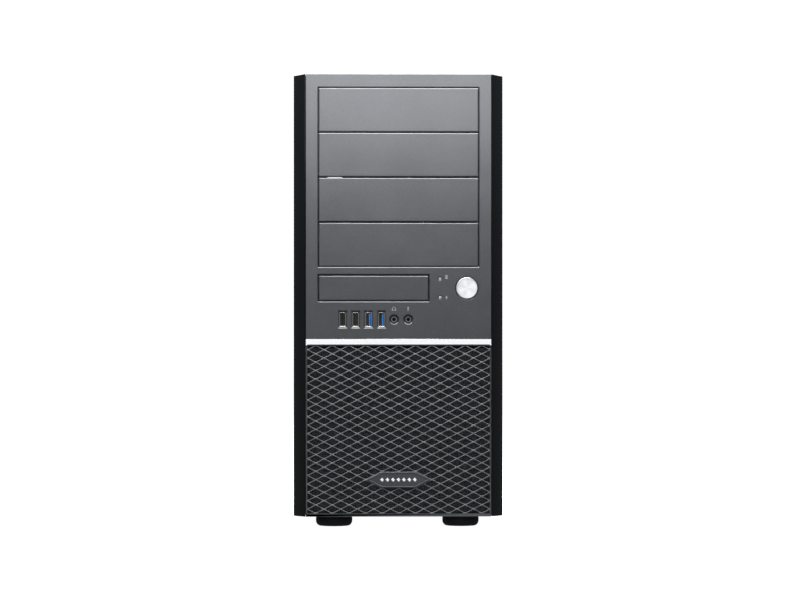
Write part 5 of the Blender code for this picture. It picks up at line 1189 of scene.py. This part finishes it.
def mainboard():
    """Board with its sockets, slots, heatsinks, chokes, capacitors, chips, cell and processor frame."""
    low, high = node_box("motherboard")
    front, rear, base, top = low[1], high[1], low[2], high[2]
    cooler = (node_box("cpu_heatsink")[0] + node_box("cpu_heatsink")[1]) / 2
    cy, cz = cooler[1], cooler[2]
    screws = [
        (front + 6.5 + i * 115.5, base + 6.5 + j * 115.5)
        for i in range(3)
        for j in range(3)
        if (i, j) != (1, 1)
    ]
    holes = [(circle(y, z, 1.9, 16), straight(BOARD_THICK)) for y, z in screws]
    sheet = plate((rectangle(front, rear, base, top, 1.5, 3), round_edge(BOARD_THICK, 0.15)), *holes)
    piece(
        "board_sheet", [facing(sheet, "X", BOARD_FACE, 1)], MASK, "chassis", ["motherboard"]
    )
    heads = []
    for y, z in screws:
        heads += screw_head("X", BOARD_FACE - 1.6, 1, (y, z), 2.9, 1.6)
    piece("board_screws", heads, ZINC, "chassis", angle=35)

    module = node_box("memory_module")
    my, mz = (module[0] + module[1])[1] / 2, (module[0] + module[1])[2] / 2
    black, pale, blue = [], [], []
    for i in range(4):
        y = my + i * 10.0
        target = blue if i % 2 else black
        for u0, u1 in ((y - 3.2, y - 1.9), (y + 1.9, y + 3.2)):
            target.append(on_board(u0, u1, mz - 69.0, mz + 69.0, 7.0))
        target.append(on_board(y - 3.2, y + 3.2, mz - 69.0, mz + 69.0, 4.4))
        for v0, v1 in ((mz - 72.5, mz - 68.0), (mz + 68.0, mz + 72.5)):
            pale.append(on_board(y - 2.4, y + 2.4, v0, v1, 10.5 if i else 8.5))
    power = node_box("main_power_cable")[1][2] - 5.0
    black.append(socket_row(front + 3.0, front + 12.6, power - 25.6, power + 25.6, 12.3, 12, 2))
    black.append(socket_row(rear - 38.0, rear - 20.0, top - 11.5, top - 2.0, 12.3, 2, 4))
    data = base + 30.0
    for z in (data, data - 16.0):
        black.append(socket_row(front + 3.2, front + 14.6, z - 7.4, z + 7.4, 8.3, 2, 1))
    for i in range(4):
        z = FIRST_SLOT_Z - i * SLOT_PITCH
        length = 90.0 if i in (0, 2) else 26.0
        target = blue if i == 0 else black
        for v0, v1 in ((z - 3.6, z - 1.2), (z + 1.2, z + 3.6)):
            target.append(on_board(rear - 140.0, rear - 140.0 + length, v0, v1, 10.8))
        target.append(on_board(rear - 140.0, rear - 140.0 + length, z - 3.6, z + 3.6, 7.0))
    for i in range(5):
        y = front + 60.0 + i * 21.0
        for j in range(5):
            for k in range(2):
                u, v = y + j * PIN_PITCH, base + 4.0 + k * PIN_PITCH
                pale.append(on_board(u, u + 0.7, v, v + 0.7, 8.0, None, 0.05))
        black.append(on_board(y - 1.2, y + 12.0, base + 2.6, base + 8.0, 2.5))
    piece("board_sockets_black", black, NYLON, "chassis")
    piece("board_sockets_blue", blue, BLUE_NYLON, "chassis")
    piece("board_latches_and_pins", pale, PALE_INK, "chassis")

    metal = finned(rear - 52.0, rear - 30.0, cz - 42.0, cz + 42.0, 20.0, 7)
    metal += finned(front + 40.0, front + 80.0, base + 20.0, base + 56.0, 18.0, 12)
    piece("board_heatsinks", metal, EXTRUDED, "chassis")

    chokes = [
        on_board(rear - 58.0, rear - 53.4, cz - 40.0 + i * 10.4, cz - 32.6 + i * 10.4, 6.5) for i in range(8)
    ]
    chokes += [
        on_board(cy - 34.0 + i * 10.0, cy - 26.6 + i * 10.0, cz + 50.5, cz + 57.9, 6.5) for i in range(6)
    ]
    piece("board_chokes", chokes, FERRITE, "chassis")
    cans = [upright(cy - 38.0 + i * 9.4, cz - 51.0, 3.2, 8.6) for i in range(9)]
    cans += [upright(rear - 24.0, base + 22.0 + i * 9.5, 2.6, 7.5) for i in range(6)]
    cans += [upright(rear - 150.0, base + 70.0 + i * 9.5, 3.2, 9.5) for i in range(3)]
    cans += [upright(front + 22.0, power - 20.0 + i * 9.0, 3.0, 9.0) for i in range(4)]
    piece("board_capacitors", cans, CAN, "chassis")
    chips = []
    for y, z, side, height in (
        (rear - 34.0, base + 84.0, 10.0, 1.3),
        (rear - 22.0, base + 6.0, 10.0, 1.2),
        (front + 100.0, base + 16.0, 14.0, 1.4),
        (front + 18.0, base + 62.0, 7.0, 1.2),
    ):
        chips.append(on_board(y, y + side, z, z + side, height))
    for i in range(8):
        chips.append(on_board(rear - 64.5, rear - 60.0, cz - 40.0 + i * 10.4, cz - 34.0 + i * 10.4, 1.1))
    for i in range(20):
        for j in range(3):
            y = front + 30.0 + (i * 37.0) % 176.0
            z = base + 12.0 + (i * 53.0 + j * 3.1) % 46.0
            chips.append(on_board(y, y + 1.6, z, z + 0.9, 0.6, None, 0.05))
    for i in range(26):
        y = cy - 44.0 + i * 3.4
        chips.append(on_board(y, y + 1.6, cz - 57.4, cz - 56.5, 0.6, None, 0.05))
    piece("board_chips", chips, EPOXY, "chassis")
    battery = [(0.0, 0.0), (8.8, 0.0), (9.2, 0.3), (9.2, 1.0), (10.0, 1.4), (10.0, 3.4), (0.0, 3.4)]
    cell = facing(turned(battery, 48), "X", BOARD_FACE - 4.2, 1, (front + 134.0, base + 26.0))
    piece("board_battery", [cell], NICKEL, "chassis")
    ring = plate(
        (rectangle(cy - 30.0, cy + 30.0, cz - 32.0, cz + 32.0, 3.0, 4), round_edge(2.6, 0.4)),
        (rectangle(cy - 20.5, cy + 20.5, cz - 20.5, cz + 20.5, 1.5, 3), round_edge(2.6, 0.4)),
    )
    piece("processor_socket", [facing(ring, "X", BOARD_FACE - 2.6, 1)], ZINC, "chassis")


def processor():
    """Green carrier with a stepped metal lid."""
    low, high = node_box("processor")
    y0, y1, z0, z1 = low[1], high[1], low[2], high[2]
    lid = facing(
        plate((rectangle(y0 + 2, y1 - 2, z0 + 2, z1 - 2, 1.0, 3), round_edge(2.9, 0.3))), "X", low[0]
    )
    step = facing(
        plate((rectangle(y0 + 0.8, y1 - 0.8, z0 + 4, z1 - 4, 1.0, 3), round_edge(1.6, 0.3))), "X",
        low[0] + 1.4
    )
    piece("processor_lid", [lid, step], NICKEL, "chassis", ["processor"])
    carrier = facing(plate((rectangle(y0, y1, z0, z1, 0.6, 3), round_edge(1.5, 0.1))), "X", high[0] - 1.5)
    piece("processor_carrier", [carrier], MASK, "chassis")


def memory():
    """Board with eight chips on each face, gilt contacts and a key notch."""
    low, high = node_box("memory_module")
    y, z0, z1 = (low[1] + high[1]) / 2, low[2], high[2]
    x0, x1 = low[0], high[0]
    middle = z0 + 0.46 * (z1 - z0)
    outline = np.array(
        [
            (x0, z0), (x1, z0), (x1, middle), (x1 - 3.5, middle), (x1 - 3.5, middle + 2), (x1, middle + 2),
            (x1, z1), (x0, z1)
        ]
    )
    sheet = facing(plate((outline, round_edge(1.2, 0.1))), "Y", y - 0.6)
    piece("memory_sheet", [sheet], MASK, "chassis", ["memory_module"])
    chips, contacts = [], []
    pitch = (z1 - z0 - 8.0) / 8
    for i in range(8):
        z = z0 + 4.0 + (i + 0.5) * pitch
        for side in (-1, 1):
            chips.append(
                block((x0 + 8.0, y + side * 0.6, z - 5.2), (x0 + 20.0, y + side * 1.7, z + 5.2), 0.15)
            )
    for i in range(58):
        z = z0 + 4.0 + i * (z1 - z0 - 8.0) / 57
        if abs(z - middle - 1) > 2.2:
            contacts.append(block((x1 - 3.0, y - 0.66, z - 0.55), (x1 - 0.3, y + 0.66, z + 0.55), 0.05))
    piece("memory_chips", chips, EPOXY, "chassis")
    piece("memory_contacts", contacts, GOLD, "chassis")


def graphics_card():
    """Card with gilt edge, small parts, a finned heatsink under it and its slot bracket."""
    low, high = node_box("graphics_card")
    z = FIRST_SLOT_Z - 0.8
    x0, x1 = low[0] + 3.9, high[0] - 11.6
    y0, y1 = low[1], high[1] - 1.2
    outline = np.array(
        [
            (x0, y0), (x1 - 7, y0), (x1 - 7, y0 + 28), (x1, y0 + 28), (x1, y0 + 116), (x1 - 7, y0 + 116),
            (x1 - 7, y1), (x0, y1)
        ]
    )
    sheet = facing(plate((outline, round_edge(1.6, 0.12))), "Z", z)
    piece("card_sheet", [sheet], MASK, "chassis", ["graphics_card"])
    contacts = []
    for i in range(40):
        y = y0 + 30.0 + i * 2.1
        contacts.append(block((x1 - 6.0, y, z - 0.05), (x1 - 0.4, y + 1.2, z + 1.65), 0.05))
    piece("card_contacts", contacts, GOLD, "chassis")
    rear = high[1]
    sink_x0, sink_x1, sink_y0, sink_y1 = x0 + 20.0, x1 - 18.0, rear - 127.5, rear - 47.5
    fins = [block((sink_x0, sink_y0, z - 3.0), (sink_x1, sink_y1, z - 0.1), 0.3)]
    count = 17
    for i in range(count):
        x = sink_x0 + 0.6 + i * (sink_x1 - sink_x0 - 2.2) / (count - 1)
        fins.append(block((x, sink_y0 + 0.6, low[2] + 0.1), (x + 1.0, sink_y1 - 0.6, z - 2.6), 0.15))
    piece("card_heatsink", fins, EXTRUDED, "chassis")
    cans, chips = [], []
    for i in range(5):
        can = turned([(0.0, 0.2), (2.0, 0.2), (2.6, 0.0), (3.0, 0.4), (3.0, 6.2), (0.0, 6.2)], 20)
        cans.append(facing(can, "Z", z + 7.8, -1, (x0 + 8.0, y0 + 14.0 + i * 9.0)))
        chips.append(
            block((x0 + 30.0 + i * 11, y0 + 30.0, z + 1.6), (x0 + 38.0 + i * 11, y0 + 40.0, z + 2.8), 0.15)
        )
    for i in range(24):
        x, y = x0 + 14.0 + (i * 29.0) % 62.0, y0 + 48.0 + (i * 47.0) % 96.0
        chips.append(block((x, y, z + 1.6), (x + 1.8, y + 1.0, z + 2.3), 0.05))
    piece("card_capacitors", cans, CAN, "chassis")
    piece("card_chips", chips, EPOXY, "chassis")
    level = FIRST_SLOT_Z
    plates = [
        facing(
            plate((rectangle(low[0], high[0], level - 9.0, level + 9.0, 0.8, 3), round_edge(0.9, 0.15))), "Y",
            rear, -1
        )
    ]
    for a0, a1, b0, b1 in (
        (x0 + 30, x0 + 62, level - 5.6, level + 3.4), (x0 + 8, x0 + 23, level - 3.6, level + 1.4)
    ):
        inner = rectangle(a0 + 0.7, a1 - 0.7, b0 + 0.7, b1 - 0.7, 0.8, 4)
        wall = plate((rectangle(a0, a1, b0, b1, 1.2, 4), round_edge(8.0, 0.2)), (inner, round_edge(8.0, 0.2)))
        plates.append(facing(wall, "Y", rear + 1.0, -1))
    piece("card_bracket", plates, NICKEL, "chassis")
    fill = [block((x0 + 31, rear - 3.0, level - 4.8), (x0 + 61, rear - 0.8, level + 2.6), 0.2)]
    fill += [block((x0 + 9, rear - 3.0, level - 1.6), (x0 + 22, rear + 0.4, level - 0.6), 0.2)]
    piece("card_socket_inserts", fill, NYLON, "chassis")


# ---------------------------------------------------------------- power supply, drive and leads
def mains_inlet():
    """Moulded inlet with a keyed cavity and three plated blades."""
    low, high = node_box("psu_inlet")
    x0, x1, z0, z1 = low[0], high[0], low[2], high[2]
    inner = np.array(
        [
            (x0 + 1.8, z0 + 1.8), (x1 - 1.8, z0 + 1.8), (x1 - 1.8, z1 - 5.5), (x1 - 5.5, z1 - 1.8),
            (x0 + 5.5, z1 - 1.8), (x0 + 1.8, z1 - 5.5)
        ]
    )
    depth = high[1] - low[1]
    body = plate(
        (rectangle(x0, x1, z0, z1, 1.5, 4), round_edge(depth, 0.4)), (inner, round_edge(depth - 1.6, 0.4))
    )
    back = block((x0 + 0.5, low[1], z0 + 0.5), (x1 - 0.5, low[1] + 1.8, z1 - 0.5), 0.2)
    piece(
        "mains_inlet_body", [facing(body, "Y", high[1], -1), back], NYLON, "chassis",
        ["psu_inlet"]
    )
    middle, level = (x0 + x1) / 2, (z0 + z1) / 2
    blades = []
    for dx, dz in ((-7.0, -1.5), (0.0, 2.5), (7.0, -1.5)):
        blades.append(
            block(
                (middle + dx - 1, low[1] + 1.0, level + dz - 2),
                (middle + dx + 1, high[1] - 3.2, level + dz + 2), 0.5
            )
        )
    piece("mains_inlet_blades", blades, NICKEL, "chassis")


def rocker():
    """Rocker with a raised dash on its upper half and a ring on its lower half."""
    refined("psu_switch", NYLON, 0.35)
    mesh = NODES["psu_switch"].data
    low, high = node_box("psu_switch")
    surface = BVHTree.FromPolygons(
        [v.co * METRE for v in mesh.vertices], [tuple(f.vertices) for f in mesh.polygons]
    )
    flat = straight(0.2)
    dash = plate((rectangle(-0.2, 0.2, -1.3, 1.3, 0.15, 2), flat))
    ring = plate((circle(0, 0, 1.3, 24), flat), (circle(0, 0, 0.95, 24), flat))
    marks = []
    for share, (points, faces) in ((0.72, dash), (0.28, ring)):
        spot = Vector(((low[0] + high[0]) / 2, high[1] + 20.0, low[2] + share * (high[2] - low[2])))
        at, slope, _, _ = surface.ray_cast(spot, Vector((0, -1, 0)))
        up = Vector((0, -slope.z, slope.y))
        frame_of = np.array([(1, 0, 0), tuple(up), tuple(-slope)])
        marks.append((points @ frame_of + np.array(at + slope * 0.06), faces))
    piece("rocker_marks", marks, PALE_INK, "psu_switch")


def hard_drive():
    """Casting with a raised lid held by six screws, a turned boss, a blank label and a plug."""
    low, high = node_box("hard_drive")
    x0, y0, z0 = low
    x1, y1, z1 = high
    body = facing(
        plate((rectangle(x0, x1, y0, y1, 2.0, 5), round_edge(z1 - z0 - 3.0, 0.6, 0.4))), "Z", z1 - 3.0, -1
    )
    lid = facing(
        plate((rectangle(x0 + 3, x1 - 3, y0 + 3, y1 - 18, 6.0, 6), round_edge(3.4, 0.8))), "Z", z1, -1
    )
    boss = turned([(0.0, 0.3), (14.0, 0.3), (14.6, 0.0), (16.0, 0.0), (16.6, 0.4), (16.6, 0.9)], 64)
    boss = facing(boss, "Z", z1 + 0.02, -1, ((x0 + x1) / 2, y0 + 48))
    piece("drive_casting", [body, lid, boss], CAST, "chassis", ["hard_drive"])
    heads = []
    for x in (x0 + 9, x1 - 9):
        for y in (y0 + 9, (y0 + y1) / 2 - 8, y1 - 24):
            heads += screw_head("Z", z1 + 0.2, -1, (x, y), 2.2, 0.9)
    piece("drive_screws", heads, NICKEL, "chassis", angle=35)
    label = facing(
        plate((rectangle(x0 + 22, x1 - 22, y1 - 66, y1 - 22, 1.5, 4), straight(0.1))), "Z", z1 + 0.06, -1
    )
    piece("drive_label", [label], PALE_INK, "chassis")
    plug = [block((x0 + 34, y1 - 6, z0 + 1.0), (x0 + 78, y1 - 0.1, z0 + 7.5), 0.4)]
    piece("drive_plug", plug, NYLON, "chassis")


def leads():
    """Sleeved leads, smoothed from their plain tubes, with their plugs."""
    for name in ("main_power_cable", "drive_data_cable"):
        refined(name, SLEEVE, rounds=1)
    low, high = node_box("main_power_cable")
    board = node_box("motherboard")
    y = board[0][1] + 8.0
    z = high[2] - 5.0
    plug = [block((high[0] - 13.0, y - 4.6, z - 25.2), (high[0] - 0.2, y + 4.6, z + 25.2), 0.6)]
    plug.append(block((high[0] - 10.0, y - 6.4, z - 3.0), (high[0] - 0.4, y - 4.4, z + 3.0), 0.4))
    for i in range(12):
        for j in (-1, 1):
            u, v = y + j * 2.1, z - 22.9 + i * 4.16
            plug.append(block((high[0] - 16.0, u - 1.3, v - 1.3), (high[0] - 12.6, u + 1.3, v + 1.3), 0.5))
    low, high = node_box("drive_data_cable")
    y, z = board[0][1] + 9.0, board[0][2] + 30.0
    plug.append(block((high[0] - 10.0, y - 5.0, z - 7.0), (high[0] - 0.2, y + 5.0, z + 7.0), 0.6))
    drive = node_box("hard_drive")
    x = (drive[0][0] + drive[1][0]) / 2 + 18.0
    plug.append(
        block(
            (x - 7.5, drive[1][1] + 0.4, drive[0][2] + 2.8), (x + 7.5, drive[1][1] + 9.5, drive[0][2] + 9.0),
            0.6
        )
    )
    piece("lead_plugs", plug, NYLON, "chassis")


# ---------------------------------------------------------------- camera, light and floor
CAMERA_DISTANCE = 3.5
CAMERA_HEIGHT = 0.2129
CAMERA_AZIMUTH = math.radians(-1.5)
# Width of the view at the distance of the front face, in metres.
VIEW_WIDTH = 0.7456
SENSOR = 36.0


def studio():
    """Camera, lights, surroundings, floor and backdrop."""
    scene = bpy.context.scene
    scene.view_settings.view_transform = "Standard"
    aim = Vector((0.0013, FACE_Y / METRE, CAMERA_HEIGHT))
    camera = bpy.data.objects.new("camera", bpy.data.cameras.new("camera"))
    scene.collection.objects.link(camera)
    back = Vector((math.sin(CAMERA_AZIMUTH), -math.cos(CAMERA_AZIMUTH), 0.0))
    camera.location = aim + CAMERA_DISTANCE * back
    camera.rotation_euler = (math.pi / 2, 0, CAMERA_AZIMUTH)
    camera.data.sensor_width = SENSOR
    camera.data.lens = SENSOR * CAMERA_DISTANCE / VIEW_WIDTH
    camera.data.clip_end = 50.0
    scene.camera = camera

    def softbox(name, location, target, size, radiance):
        """Area light; its power is that of a panel of the given radiance."""
        light = bpy.data.lights.new(name, "AREA")
        light.shape = "RECTANGLE"
        light.size, light.size_y = size
        light.energy = math.pi * size[0] * size[1] * radiance
        made = bpy.data.objects.new(name, light)
        scene.collection.objects.link(made)
        made.visible_camera = False
        made.location = location
        made.rotation_euler = (Vector(target) - Vector(location)).to_track_quat("-Z", "Y").to_euler()

    softbox("near_softbox", (-0.01, -0.365, 0.467), (-0.01, -0.212, 0.426), (0.34, 0.22), 4.3)
    softbox("high_panel", (0.0, -1.4, 1.9), (0.0, -0.2, 0.2), (1.2, 0.8), 4.6)
    softbox("front_panel", (0.0, -4.4, 0.45), (0.0, 0.0, 0.2), (2.4, 2.4), 1.0)
    softbox("top_panel", (0.0, -0.10, 1.25), (0.0, -0.10, 0.0), (1.0, 0.30), 30.0)
    softbox("left_panel", (-2.0, -2.0, 1.6), (0.0, 0.0, 0.2), (1.4, 1.4), 1.4)
    softbox("back_panel", (0.8, 2.6, 1.6), (0.0, 0.0, 0.2), (1.8, 1.4), 1.8)

    world = bpy.data.worlds.new("studio")
    scene.world = world
    world.use_nodes = True
    world.node_tree.nodes["Background"].inputs[0].default_value = (0.16, 0.165, 0.17, 1.0)
    world.node_tree.nodes["Background"].inputs[1].default_value = 1.0

    def white(name, roughness, scale, dark, light):
        """Glowing white that shows no shadow."""
        made, tree, shader, place = new_finish(name, Roughness=roughness)
        grain = add(tree, "TexNoise", {"Vector": place, "Scale": scale})
        tree.links.new(mixed(tree, grain.outputs[0], dark, light), shader.inputs["Base Color"])
        shader.inputs["Emission Color"].default_value = (1, 1, 1, 1)
        shader.inputs["Emission Strength"].default_value = 1.0
        return made

    far, around, corners = 9000.0, 8500.0, 64
    ground = np.array([(-far, -far, 0), (far, -far, 0), (far, far, 0), (-far, far, 0)], float), [[0, 1, 2, 3]]
    floor = piece("floor", [ground], white("pale_floor", 0.9, 3.0, "#f4f4f4", "#f8f8f8"), None)
    rim = circle(0, 0, around, corners)
    rows = np.concatenate([np.column_stack([rim, np.full(corners, z)]) for z in (-10.0, 6000.0)])
    finish = white("white_backdrop", 1.0, 0.5, "#ffffff", "#ffffff")
    backdrop = piece("backdrop", [(rows, band(2, corners))], finish, None)
    for stage in (floor, backdrop):
        stage.visible_diffuse = False
        stage.visible_glossy = False
        stage.visible_shadow = False


studio()
front_moulding()
for name in ("bay_cover_1", "bay_cover_2", "bay_cover_3", "bay_cover_4", "small_bay_cover"):
    blank_cover(name)
side_strip("bezel_side_left", -1)
side_strip("bezel_side_right", 1)
power_button()
lamp_lenses()
for number, at in enumerate(SOCKETS, 1):
    front_socket(number, at, NYLON if number < 3 else BLUE_NYLON)
for number, at in enumerate(JACKS, 1):
    audio_jack(number, at)
trim()
grille()
badge()
printed_pictures()
for name in ("foot_front_left", "foot_front_right", "foot_rear_left", "foot_rear_right"):
    foot(name)
for name in ("base_pan", "top_panel", "front_frame", "side_panel_left", "side_panel_right", "psu_housing"):
    refined(name, POWDER_COAT, 0.3)
for name in ("rear_panel", "board_tray", "upper_drive_cage", "lower_drive_cage"):
    refined(name, ZINC, 0.25)
refined("dust_filter", FOAM, 0.6)
refined("front_io_board", MASK, 0.15)
refined("power_switch", NYLON, 0.4)
refined("cpu_heatsink", EXTRUDED, 0.2)
refined("io_shield", NICKEL, 0.1)
for name in ("thumbscrew_left_low", "thumbscrew_left_high", "thumbscrew_right_low", "thumbscrew_right_high"):
    thumbscrew(name)
rear_screws()
slot_covers()
fans()
rear_sockets()
mainboard()
processor()
memory()
graphics_card()
mains_inlet()
rocker()
hard_drive()
leads()
